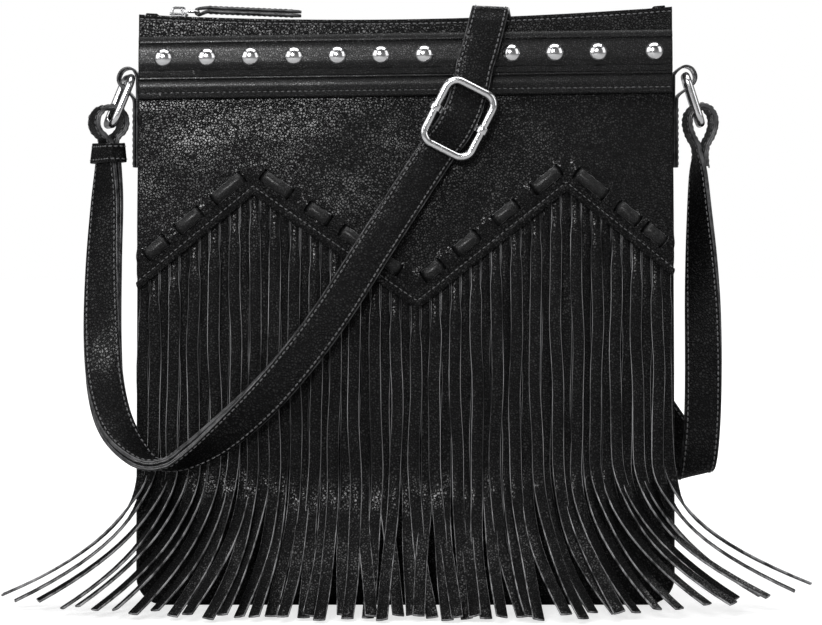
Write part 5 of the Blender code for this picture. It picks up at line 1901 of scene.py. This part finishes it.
    def in_buckle(self, route: Sequence[tuple]) -> list[tuple]:
        """Places buckle route points in space with the strap's width direction.

        Args:
            route: Millimetres along, across and out from the centre.

        Returns:
            Places with their width direction.
        """
        centre, along, across, out = self.buckle_axes()
        return [(centre + (along * u + across * c + out * h) * 0.001, -across)
                for u, c, h in route]

    def double_middle(self, step: float) -> list[tuple]:
        """The doubled stretch's middle line with its width and outward directions.

        Args:
            step: Distance between points.

        Returns:
            Place, width and outward direction of each point.
        """
        points = [mm(x, y, z) for x, y, z, _ in self.double_route]
        framed = []
        for i, point in enumerate(points):
            along = run_at(points, i)
            wide = self.twisted(along, self.double_route[i][3])
            framed.append((point, (wide - along * wide.dot(along)).normalized()))
        line = eased(framed, step)
        middles = [point for point, _ in line]
        result = []
        for i, (point, wide) in enumerate(line):
            outward = wide.cross(run_at(middles, i)).normalized()
            result.append((point, wide.normalized(), outward))
        return result

    def loop_stations(self, hub: Vector, wide: Vector, half_loop: Sequence[tuple]) -> list[tuple]:
        """An open loop over a ring: up one side, over the top and down the other.

        Args:
            hub: Where the ring's lower wire crosses the strap's middle.
            wide: The strap's width direction on the loop.
            half_loop: Millimetres aside and up from the hub, from the loop's neck to its top.

        Returns:
            Stations of the whole loop.
        """
        level = wide.cross(UP).normalized()
        steps = list(half_loop) + [(-n, z) for n, z in reversed(half_loop[:-1])]
        return [(hub + (level * n + UP * z) * 0.001, wide) for n, z in steps]

    def stations(self, step: float) -> list[tuple]:
        """Every station: place, width direction and share of the full thickness.

        Args:
            step: Distance between points.

        Returns:
            The stations from the tail to the end at the bar.
        """
        right_wide = Vector((-0.08, 1.0, 0.0)).normalized()
        hub = Vector(self.right_hub)
        tail_out = Vector((1.0, 0.08, 0.0)).normalized()
        tail = [(hub + tail_out * (self.thickness * 0.73) - UP * self.tail_drop, right_wide)]
        over_right = self.loop_stations(hub, right_wide, self.right_loop)
        single = [(mm(x, y, z), Vector((a, b, c)).normalized())
                  for x, y, z, a, b, c in self.single_route]
        first = eased(tail + over_right + single + self.in_buckle(self.over_bar), step)
        middle = self.double_middle(step)
        shift = (self.thickness + self.ply_gap) / 2
        outer = [(point + out * shift, wide) for point, wide, out in middle]
        inner = [(point - out * shift, wide) for point, wide, out in reversed(middle)]
        loop_wide = self.twisted(UP, self.left_loop_twist)
        left_hub = Vector((middle[-1][0].x, middle[-1][0].y, self.left_ring_z))
        over_left = eased(self.loop_stations(left_hub, loop_wide, self.left_loop), step)
        plain = [(point, wide, 1.0) for point, wide in first + outer + over_left + inner]
        bar = eased(self.in_buckle(self.round_bar), step)
        thin = self.pared / self.thickness
        ends = []
        for number, (point, wide) in enumerate(bar):
            share = smoothstep((number / (len(bar) - 1) - 0.40) / 0.22)
            ends.append((point, wide, 1.0 + (thin - 1.0) * share))
        return plain + ends

    def framed(self, stations: Sequence[tuple]) -> list[tuple]:
        """Stations with the width squared to the run, and the outward direction.

        Args:
            stations: The strap's stations.

        Returns:
            Place, width and outward direction of each.
        """
        centres = [station[0] for station in stations]
        result = []
        for i, (centre, wide, _) in enumerate(stations):
            along = run_at(centres, i)
            wide = (wide - along * wide.dot(along)).normalized()
            result.append((centre, wide, wide.cross(along).normalized()))
        return result

    def section(self, share: float) -> list[tuple]:
        """A strap of two plies: crowned faces, round painted edges and the line between plies.

        Args:
            share: Share of the full thickness.

        Returns:
            The section's points.
        """
        half, thick = self.width / 2, self.thickness / 2 * share
        points = []
        for side in (1.0, -1.0):
            for step in (-1.0, -0.86, -0.80, -0.72, -0.4, 0.0, 0.4, 0.72, 0.80, 0.86, 1.0):
                across = side * step * (half - 0.0005)
                dip = 0.00012 if abs(abs(step) - 0.80) < 0.01 else 0.0
                crown = 0.00015 * (1.0 - step * step)
                points.append((across, -side * (thick - 0.00015 + crown - dip), abs(step) == 1.0))
            edge = side * half
            points += [(edge - side * 0.00008, -side * thick * 0.62, True),
                       (edge, -side * thick * 0.30, True),
                       (edge - side * 0.00022, 0.0, True),
                       (edge, side * thick * 0.30, True),
                       (edge - side * 0.00008, side * thick * 0.62, True)]
        return points

    def build_strap(self) -> None:
        """Makes and places the strap with its stitches."""
        stations = self.stations(0.0028)
        framed = self.framed(stations)
        piece = self.shop.sweep("strap_leather", framed, lambda i: self.section(stations[i][2]),
                                self.shop.finishes.cut_strap)
        self.shop.place(piece, "bag", "strap", ("strap",))
        full = [frame for frame, station in zip(framed, stations) if station[2] > 0.98]
        lines = []
        for side in (-1.0, 1.0):
            for face in (-1.0, 1.0):
                across = side * (self.width / 2 - self.stitch_inset)
                rise = face * (self.thickness / 2 - 0.0001)
                lines.append([centre + wide * across + out * rise for centre, wide, out in full])
        rows = self.repeats.stitches("strap_stitches", lines)
        self.shop.place(rows, "bag", "strap")

    def keeper_frames(self, shares: Sequence[float]) -> list[tuple]:
        """The doubled strap's middle and directions at heights across the keeper.

        Args:
            shares: Heights from -0.5 to 0.5 of the keeper.

        Returns:
            Place, width and outward direction at each.
        """
        line = self.double_middle(0.002)
        frames = []
        for share in shares:
            height = self.keeper_middle + self.keeper_height * share
            for below, above in zip(line, line[1:]):
                if below[0].x < -0.14 and below[0].z <= height <= above[0].z:
                    part = (height - below[0].z) / (above[0].z - below[0].z)
                    frames.append(tuple(low.lerp(high, part) for low, high in zip(below, above)))
                    break
        return frames

    def build_keeper(self) -> None:
        """Makes and places the leather keeper with its two stitch rows."""
        half_wide = self.width / 2 + self.keeper_clear
        half_out = self.thickness + self.ply_gap / 2 + self.keeper_clear
        outline = rounded_rectangle(half_wide, half_out, 0.0012, steps=4)[::-1]
        rows = []
        for point, wide, out in self.keeper_frames(spread(-0.5, 0.5, 9)):
            rows.append([point + wide * u + out * v for u, v in outline])
        band = self.shop.sheet("keeper_leather", rows, self.keeper, self.shop.finishes.cut_strap,
                               closed=True)
        self.shop.place(band, "bag", "strap_keeper", ("strap_keeper",))
        lines = []
        outer = rounded_rectangle(half_wide + self.keeper, half_out + self.keeper, 0.003, steps=4)
        for point, wide, out in self.keeper_frames((-0.33, 0.33)):
            ring = [point + wide * u + out * v for u, v in outer]
            lines.append(ring + ring[:1])
        stitches = self.repeats.stitches("keeper_stitches", lines)
        self.shop.place(stitches, "bag", "strap_keeper")

    def build_buckle(self) -> None:
        """Makes and places the bent wire frame and the centre bar with its eyelets."""
        centre, along, across, out = self.buckle_axes()
        outline = rounded_rectangle(self.buckle_half_across, self.buckle_half_along,
                                    self.buckle_corner, steps=10)
        points = [centre + across * u + along * v for u, v in outline]
        frame_piece = self.shop.wire("buckle_wire", points, self.buckle_wire, True,
                                     self.shop.finishes.chrome, 7)
        self.shop.place(frame_piece, "bag", "buckle_frame", ("buckle_frame",))
        pieces = []
        stations = [(centre - out * self.bar_back + across * (self.bar_half_length * side),
                     along, out) for side in (-1.0, 0.0, 1.0)]

        def flat(_: int) -> list:
            """The flat bar's section."""
            ring = rounded_rectangle(self.bar_width / 2, self.bar / 2, 0.0004, steps=3)
            return [(u, v, False) for u, v in ring]

        looks = (self.shop.finishes.chrome,)
        pieces.append(self.shop.sweep("bar_flat", stations, flat, looks))
        for side in (-1.0, 1.0):
            hub = centre + across * (side * self.buckle_half_across)
            reach = self.buckle_wire + GAP + self.eyelet / 2
            ring = []
            for step in range(self.eyelet_steps):
                turn = 2 * math.pi * step / self.eyelet_steps
                radial = across * math.cos(turn) + out * math.sin(turn)
                ring.append((hub + radial * reach, along, radial))

            def crimp(_: int) -> list:
                """The eyelet's thin section."""
                flat_ring = rounded_rectangle(self.bar_width / 2, self.eyelet / 2, 0.00025, 2)
                return [(u, v, False) for u, v in flat_ring]

            pieces.append(self.shop.sweep(f"bar_eyelet_{int(side)}", ring, crimp, looks, loop=True))
        bar_piece = self.shop.join("buckle_bar_metal", pieces)
        self.shop.shade(bar_piece, 45.0)
        self.shop.place(bar_piece, "bag", "buckle_bar", ("buckle_bar",))

    def build(self) -> None:
        """Makes and places the strap's pieces."""
        self.build_strap()
        self.build_keeper()
        self.build_buckle()


# Rings and tabs
@dataclass
class SideRing:
    """One side ring and the leather tab that holds it."""

    shop: Workshop
    repeats: RepeatMaker
    form: BagForm
    side: str
    top: tuple
    bottom: tuple
    yaw: float
    sign: float
    wire: float = 0.00195
    width: float = 0.0240
    corner: float = 0.005
    tab_width: float = 0.0140
    tab: float = 0.0012
    tab_bottom: float = 0.2190
    tab_straight: float = 0.2380
    stitch_inset: float = 0.002
    stitch_top: float = 0.248

    def build_ring(self) -> None:
        """Makes and places the ring."""
        top, bottom = Vector(self.top), Vector(self.bottom)
        turn = math.radians(self.yaw)
        wide = Vector((-math.sin(turn), math.cos(turn), 0.0))
        down = bottom - top
        half = down.length / 2
        down = (down - wide * down.dot(wide)).normalized()
        outline = rounded_rectangle(self.width / 2, half, self.corner, steps=8)
        points = [top + wide * u + down * (v + half) for u, v in outline]
        piece = self.shop.wire(f"ring_wire_{self.side}", points, self.wire, True,
                               self.shop.finishes.chrome, 7)
        self.shop.place(piece, f"{self.side}_ring", f"ring_{self.side}", (f"ring_{self.side}",))

    def tab_line(self, step: float) -> list[tuple]:
        """The tab's middle surface from its inner end round the ring to its outer end.

        Args:
            step: Distance between points.

        Returns:
            The line's points.
        """
        inner = self.form.half_width + GAP + self.tab / 2
        outer = inner + self.tab + GAP
        ring_x, ring_z = abs(self.top[0]), self.top[2]
        route = (
            (inner, self.tab_bottom), (inner, self.tab_straight), (inner, ring_z - 0.0030),
            (inner + 0.0004, ring_z + 0.0010), (ring_x - 0.0028, ring_z + 0.0040),
            (ring_x, ring_z + 0.0051), (ring_x + 0.0032, ring_z + 0.0038),
            (ring_x + 0.0050, ring_z), (ring_x + 0.0040, ring_z - 0.0036),
            (ring_x + 0.0006, ring_z - 0.0064), (outer + 0.0008, ring_z - 0.0100),
            (outer, ring_z - 0.0140), (outer, self.tab_straight), (outer, self.tab_bottom))
        line = eased([(Vector((self.sign * x, 0.0, z)),) for x, z in route], step)
        return [point for (point,) in line]

    def build_tab(self) -> None:
        """Makes and places the tab with its stitches."""
        line = self.tab_line(0.0012)
        wide = Vector((0.0, 1.0, 0.0))
        half, thick = self.tab_width / 2, self.tab / 2
        stations = []
        for i, point in enumerate(line):
            stations.append((point, wide, wide.cross(run_at(line, i)).normalized()))

        def section(_: int) -> list:
            """A leather strip with soft edges."""
            ring = rounded_rectangle(half, thick, thick * 0.8, steps=3)
            return [(u, v, abs(u) > half - thick) for u, v in ring]

        piece = self.shop.sweep(f"tab_leather_{self.side}", stations, section,
                                self.shop.finishes.cut_strap)
        self.shop.place(piece, "bag", f"ring_tab_{self.side}", (f"ring_tab_{self.side}",))
        outer_x = self.sign * (self.form.half_width + 2 * GAP + 2 * self.tab)
        lines = []
        low = self.tab_bottom + self.stitch_inset
        for y in (-half + self.stitch_inset, half - self.stitch_inset):
            lines.append([Vector((outer_x, y, z)) for z in spread(low, self.stitch_top, 20)])
        lines.append([Vector((outer_x, y, low)) for y in spread(-half + 0.003, half - 0.003, 8)])
        rows = self.repeats.stitches(f"tab_stitches_{self.side}", lines)
        self.shop.place(rows, "bag", f"ring_tab_{self.side}")

    def build(self) -> None:
        """Makes and places the ring and its tab."""
        self.build_ring()
        self.build_tab()


# Zip
@dataclass
class ZipTop:
    """The tapes, coils, facings, slider and leather pull along the top."""

    shop: Workshop
    repeats: RepeatMaker
    form: BagForm
    half_length: float = 0.1250
    tape: float = 0.0006
    facing: float = 0.0010
    facing_drop: float = 0.016
    tape_margin: float = 0.0085
    slider_x: float = -0.1150
    coil_ends: tuple = (-0.1170, 0.1200)
    coil_pitch: float = 0.00125
    coil_width: float = 0.0024
    coil_thread: float = 0.00046
    core: float = 0.00035
    link_bar: tuple = (0.0016, 0.00345)
    link_radius: float = 0.0006
    link_length: float = 0.0084
    link_half: float = 0.0030
    pull_length: float = 0.0520
    pull_width: float = 0.0100
    pull: float = 0.0014
    pull_stitch_inset: float = 0.0016

    def build_facings(self) -> None:
        """Makes and places the strips behind the top edges."""
        for name, point, flip in (("front", self.form.front, True),
                                  ("back", self.form.back, False)):
            rows = []
            for x in spread(-self.half_length, self.half_length, 90):
                high = self.form.top_z(x) - 2 * GAP
                rows.append([point(x, z, 0.0) for z in spread(high - self.facing_drop, high, 9)])
            piece = self.shop.sheet(f"facing_leather_{name}", rows, self.facing,
                                    self.shop.finishes.cut_body, side=-1.0, flip=flip, edge=0.0002)
            self.shop.place(piece, "bag", f"zip_facing_{name}", (f"zip_facing_{name}",))

    def build_tapes(self) -> None:
        """Makes and places the two woven tapes."""
        for name, side in (("front", -1.0), ("back", 1.0)):
            rows = []
            for x in spread(-self.half_length, self.half_length, 120):
                high = self.form.top_z(x)
                margin = self.form.depth(x, high - 0.7 * self.tape_margin)
                margin -= self.facing + GAP + self.tape / 2
                section = [(margin, -self.tape_margin), (margin, -0.0060), (margin, -0.0034),
                           (margin - 0.0004, -0.0022), (margin - 0.0014, -0.0013),
                           ((margin + GAP) / 2, -0.0009), (GAP, -0.0006 - self.tape / 2)]
                rows.append([Vector((x, side * deep, high + rise)) for deep, rise in section])
            piece = self.shop.sheet(f"zip_tape_cloth_{name}", rows, self.tape,
                                    (self.shop.finishes.tape,), side=0.0, edge=0.0)
            self.shop.place(piece, "bag", f"zip_tape_{name}", (f"zip_tape_{name}",))

    def zip_line(self, low: float, high: float, rise: float) -> Row:
        """Points along the zip, this far above the top edge's arc."""
        return [Vector((x, 0.0, self.form.top_z(x) + rise)) for x in spread(low, high, 240)]

    def build_coils(self) -> None:
        """Makes and places the closed row of coil teeth and the cord between them."""
        pieces = []
        left, right = self.coil_ends
        for number, y in enumerate((-self.coil_pitch, self.coil_pitch)):
            line = [p + Vector((0.0, y, 0.0)) for p in self.zip_line(left, right, 0.00018)]
            mesh = bpy.data.meshes.new("coil_line")
            mesh.from_pydata(line, [(i, i + 1) for i in range(len(line) - 1)], [])
            pieces.append(self.repeats.run(f"coil_teeth_{number}", self.repeats.coil_tree, mesh, {
                "Pitch": self.coil_pitch, "Width": self.coil_width, "Thread": self.coil_thread,
                "Finish": self.shop.finishes.coil}))
        middle = self.zip_line(left - 0.0002, right + 0.0002, 0.00005)
        core = self.shop.wire("coil_core", middle, self.core, False, self.shop.finishes.coil, 2)
        made = self.shop.join("zip_coils", pieces + [core])
        self.shop.shade(made, 60.0)
        self.shop.place(made, "bag", "zip_chain", ("zip_chain",))

    def pull_place(self) -> Matrix:
        """Where the pull's hinge sits, turned to the zip's slope.

        Returns:
            The hinge's matrix.
        """
        turn = Matrix.Rotation(-self.form.top_slope(self.slider_x), 4, "Y")
        spot = Matrix.Translation((self.slider_x, 0.0, self.form.top_z(self.slider_x)))
        return spot @ turn @ Matrix.Translation((self.link_bar[0], 0.0, self.link_bar[1]))

    def build_pull(self) -> None:
        """Makes and places the wire link and the folded leather pull."""
        place = self.pull_place()
        half = self.link_length / 2
        outline = rounded_rectangle(half, self.link_half, 0.0012, steps=6)
        points = [place @ Vector((u + half, v, 0.0)) for u, v in outline]
        link = self.shop.wire("pull_link_wire", points, self.link_radius, True,
                              self.shop.finishes.chrome, 5)
        self.shop.place(link, "pull", "zip_pull_link", ("zip_pull_link",))
        fold = self.link_radius + GAP + self.pull / 2
        end = self.link_length + self.pull_length
        ply = self.pull + 2 * GAP
        low, high = 0.0012 - ply / 2, 0.0012 + ply / 2
        tip = [(end, 0.30), (end - 0.0006, 0.55), (end - 0.0018, 0.82), (end - 0.0040, 1.0)]
        body = [(self.link_length + share * (self.pull_length - 0.010) + 0.004, 1.0)
                for share in (1.0, 0.75, 0.5, 0.25, 0.06)]
        side = tip + body + [(self.link_length + 0.0040, 0.8)]
        route = [(x, low, width) for x, width in side]
        for angle in (270.0, 225.0, 180.0, 135.0, 90.0):
            turn = math.radians(angle)
            route.append((self.link_length + fold * math.cos(turn), fold * math.sin(turn), 0.46))
        route += [(x, high, width) for x, width in reversed(side)]
        line = eased([(Vector((x, 0.0, z)), Vector((width, 0.0, 0.0))) for x, z, width in route],
                     0.0011)
        wide = place.to_3x3() @ Vector((0.0, 1.0, 0.0))
        stations, widths = [], []
        for i, (point, width) in enumerate(line):
            along = line[min(len(line) - 1, i + 1)][0] - line[max(0, i - 1)][0]
            along = (place.to_3x3() @ along).normalized()
            stations.append((place @ point, wide, wide.cross(along).normalized()))
            widths.append(min(1.0, width.x))
        thick = self.pull / 2

        def section(number: int) -> list:
            """A pull ply with soft edges, narrow round the link.

            Args:
                number: The station's number.

            Returns:
                The section's points.
            """
            ring = rounded_rectangle(self.pull_width / 2 * widths[number], thick, thick * 0.8, 3)
            edge = self.pull_width / 2 * widths[number] - thick
            return [(u, v, abs(u) > edge) for u, v in ring]

        tab = self.shop.sweep("pull_leather", stations, section, self.shop.finishes.cut_strap)
        self.shop.place(tab, "pull", "zip_pull_tab", ("zip_pull_tab",))
        lines = []
        aside = self.pull_width / 2 - self.pull_stitch_inset
        for y in (-aside, aside):
            for z in (high + thick, low - thick):
                lines.append([place @ Vector((x, y, z))
                              for x in spread(self.link_length + 0.006, end - 0.005, 20)])
        rows = self.repeats.stitches("pull_stitches", lines, 0.0027, 0.0020, 0.0003)
        self.shop.place(rows, "pull", "zip_pull_tab")

    def build(self) -> None:
        """Makes and places the zip's pieces and dresses the slider and end tabs."""
        self.build_facings()
        self.build_tapes()
        self.build_coils()
        self.build_pull()
        nodes = frame["nodes"]
        for name, finish in (("zip_slider", self.shop.finishes.chrome),
                             ("zip_end_left", self.shop.finishes.strap),
                             ("zip_end_right", self.shop.finishes.strap)):
            mesh = nodes[name].data
            if mesh.materials:
                for spot in range(len(mesh.materials)):
                    mesh.materials[spot] = finish
            else:
                mesh.materials.append(finish)


# Studio
@dataclass
class Studio:
    """Camera, lamps, world and floor."""

    distance: float = 1.40
    front_plane: float = -0.020
    pixel: float = 0.0005
    width_px: int = 822
    height_px: int = 625
    zero_px: tuple[float, float] = (405.5, 605.0)
    eye_height: float = 0.200

    def camera(self) -> None:
        """The photograph's viewpoint: level, from just above the middle."""
        data = bpy.data.cameras.new("camera")
        view_width = self.width_px * self.pixel
        data.sensor_width = 36.0
        data.lens = 36.0 * self.distance / view_width
        eye_x = (self.width_px / 2 - self.zero_px[0]) * self.pixel
        middle_z = (self.zero_px[1] - self.height_px / 2) * self.pixel
        data.shift_y = (middle_z - self.eye_height) / view_width
        data.clip_start = 0.05
        data.clip_end = 50.0
        camera = bpy.data.objects.new("camera", data)
        camera.location = (eye_x, self.front_plane - self.distance, self.eye_height)
        camera.rotation_euler = (math.radians(90.0), 0.0, 0.0)
        bpy.context.scene.collection.objects.link(camera)
        bpy.context.scene.camera = camera

    def lamp(self, name: str, place: tuple, target: tuple, size: tuple, power: float) -> None:
        """An area lamp aimed at a point.

        Args:
            name: Name of the lamp.
            place: Where it stands.
            target: What it points at.
            size: Its width and height.
            power: Its power in watts.
        """
        data = bpy.data.lights.new(name, "AREA")
        data.shape = "RECTANGLE"
        data.size, data.size_y = size
        data.energy = power
        lamp = bpy.data.objects.new(name, data)
        lamp.location = place
        aim = Vector(target) - Vector(place)
        lamp.rotation_euler = aim.to_track_quat("-Z", "Y").to_euler()
        bpy.context.scene.collection.objects.link(lamp)

    def world(self) -> None:
        """A soft grey room that is white to the camera and a dim studio to metal."""
        world = bpy.data.worlds.new("room")
        bpy.context.scene.world = world
        world.use_nodes = True
        world.node_tree.nodes.clear()
        wiring = Wiring(world.node_tree)
        path = wiring.add("ShaderNodeLightPath").outputs
        place = wiring.add("ShaderNodeTexCoord")
        split = wiring.add("ShaderNodeSeparateXYZ", {0: place.outputs["Generated"]})
        ramp = wiring.add("ShaderNodeValToRGB", {"Fac": split.outputs["Z"]})
        level, above = ramp.color_ramp.elements
        level.position, level.color = 0.0, (0.17, 0.17, 0.17, 1.0)
        above.position, above.color = 0.62, (0.05, 0.05, 0.052, 1.0)
        soft, mirror, white = [
            wiring.add("ShaderNodeBackground", {"Color": colour}).outputs[0]
            for colour in ((0.20, 0.20, 0.205, 1.0), ramp.outputs["Color"], (1.0, 1.0, 1.0, 1.0))]
        seen = wiring.maths("MAXIMUM", path["Is Camera Ray"], path["Is Transmission Ray"])
        room = wiring.add("ShaderNodeMixShader", {0: path["Is Glossy Ray"], 1: soft, 2: mirror})
        final = wiring.add("ShaderNodeMixShader", {0: seen, 1: room.outputs[0], 2: white})
        wiring.add("ShaderNodeOutputWorld", {"Surface": final.outputs[0]})

    def floor(self) -> None:
        """A pale floor that keeps the bag's shadow and is white to the camera."""
        side = 6.0
        mesh = bpy.data.meshes.new("floor")
        mesh.from_pydata([(-side, -side, 0.0), (side, -side, 0.0), (side, side, 0.0),
                          (-side, side, 0.0)], [], [(0, 1, 2, 3)])
        look = bpy.data.materials.new("pale_floor")
        look.use_nodes = True
        wiring = Wiring(look.node_tree)
        shader = wiring.tree.nodes["Principled BSDF"]
        wiring.feed(shader, {"Base Color": (0.42, 0.42, 0.42, 1.0), "Roughness": 0.9,
                             "Specular IOR Level": 0.0})
        path = wiring.add("ShaderNodeLightPath")
        place = wiring.add("ShaderNodeTexCoord")
        away = wiring.add("ShaderNodeVectorMath", {0: place.outputs["Object"]}, operation="LENGTH")
        level = wiring.ranged(away.outputs["Value"], 0.20, 0.70, (0.72, 1.0))
        strength = wiring.maths("MULTIPLY", path.outputs["Is Camera Ray"], level)
        glow = wiring.add("ShaderNodeEmission", {"Color": (1.0, 1.0, 1.0, 1.0),
                                                 "Strength": strength})
        both = wiring.add("ShaderNodeAddShader", {0: shader.outputs[0], 1: glow.outputs[0]})
        wiring.feed(wiring.tree.nodes["Material Output"], {"Surface": both.outputs[0]})
        mesh.materials.append(look)
        Workshop.link("floor", mesh)

    def build(self) -> None:
        """Sets up the studio."""
        scene = bpy.context.scene
        scene.view_settings.view_transform = "Standard"
        self.camera()
        self.world()
        self.floor()
        self.lamp("key", (-0.38, -1.50, 0.84), (-0.03, 0.0, 0.20), (0.46, 0.36), 15.0)
        self.lamp("side", (-1.30, -0.7, 0.8), (0.0, 0.0, 0.15), (1.2, 1.2), 6.5)
        self.lamp("fill", (1.35, -0.7, 0.8), (0.0, 0.0, 0.15), (0.9, 1.2), 4.0)
        self.lamp("top", (0.0, -0.25, 1.5), (0.0, 0.0, 0.05), (1.5, 0.8), 11.0)
        self.lamp("rear", (0.5, 1.4, 0.9), (0.0, 0.0, 0.15), (1.0, 0.8), 9.0)


def main() -> None:
    """Builds the bag's pieces in order and the studio round them."""
    Studio().build()
    shop = Workshop(Finishes())
    repeats = RepeatMaker(shop)
    form, layers = BagForm(), Layers()
    hem = ZigzagHem(form, layers)
    BodyPanels(shop, repeats, form, layers).build()
    LacedYoke(shop, repeats, form, layers, hem).build()
    StuddedBands(shop, repeats, form, layers).build()
    Fringe(shop, form, layers, hem).build()
    ZipTop(shop, repeats, form).build()
    SideRing(shop, repeats, form, "left", (-0.1403, 0.0, 0.2642), (-0.1503, 0.0, 0.2408), 15.0,
             -1.0).build()
    SideRing(shop, repeats, form, "right", (0.1418, 0.0, 0.2652), (0.1494, 0.0, 0.2413), -3.0,
             1.0).build()
    Strap(shop, repeats).build()


if __name__ == "__main__":
    main()
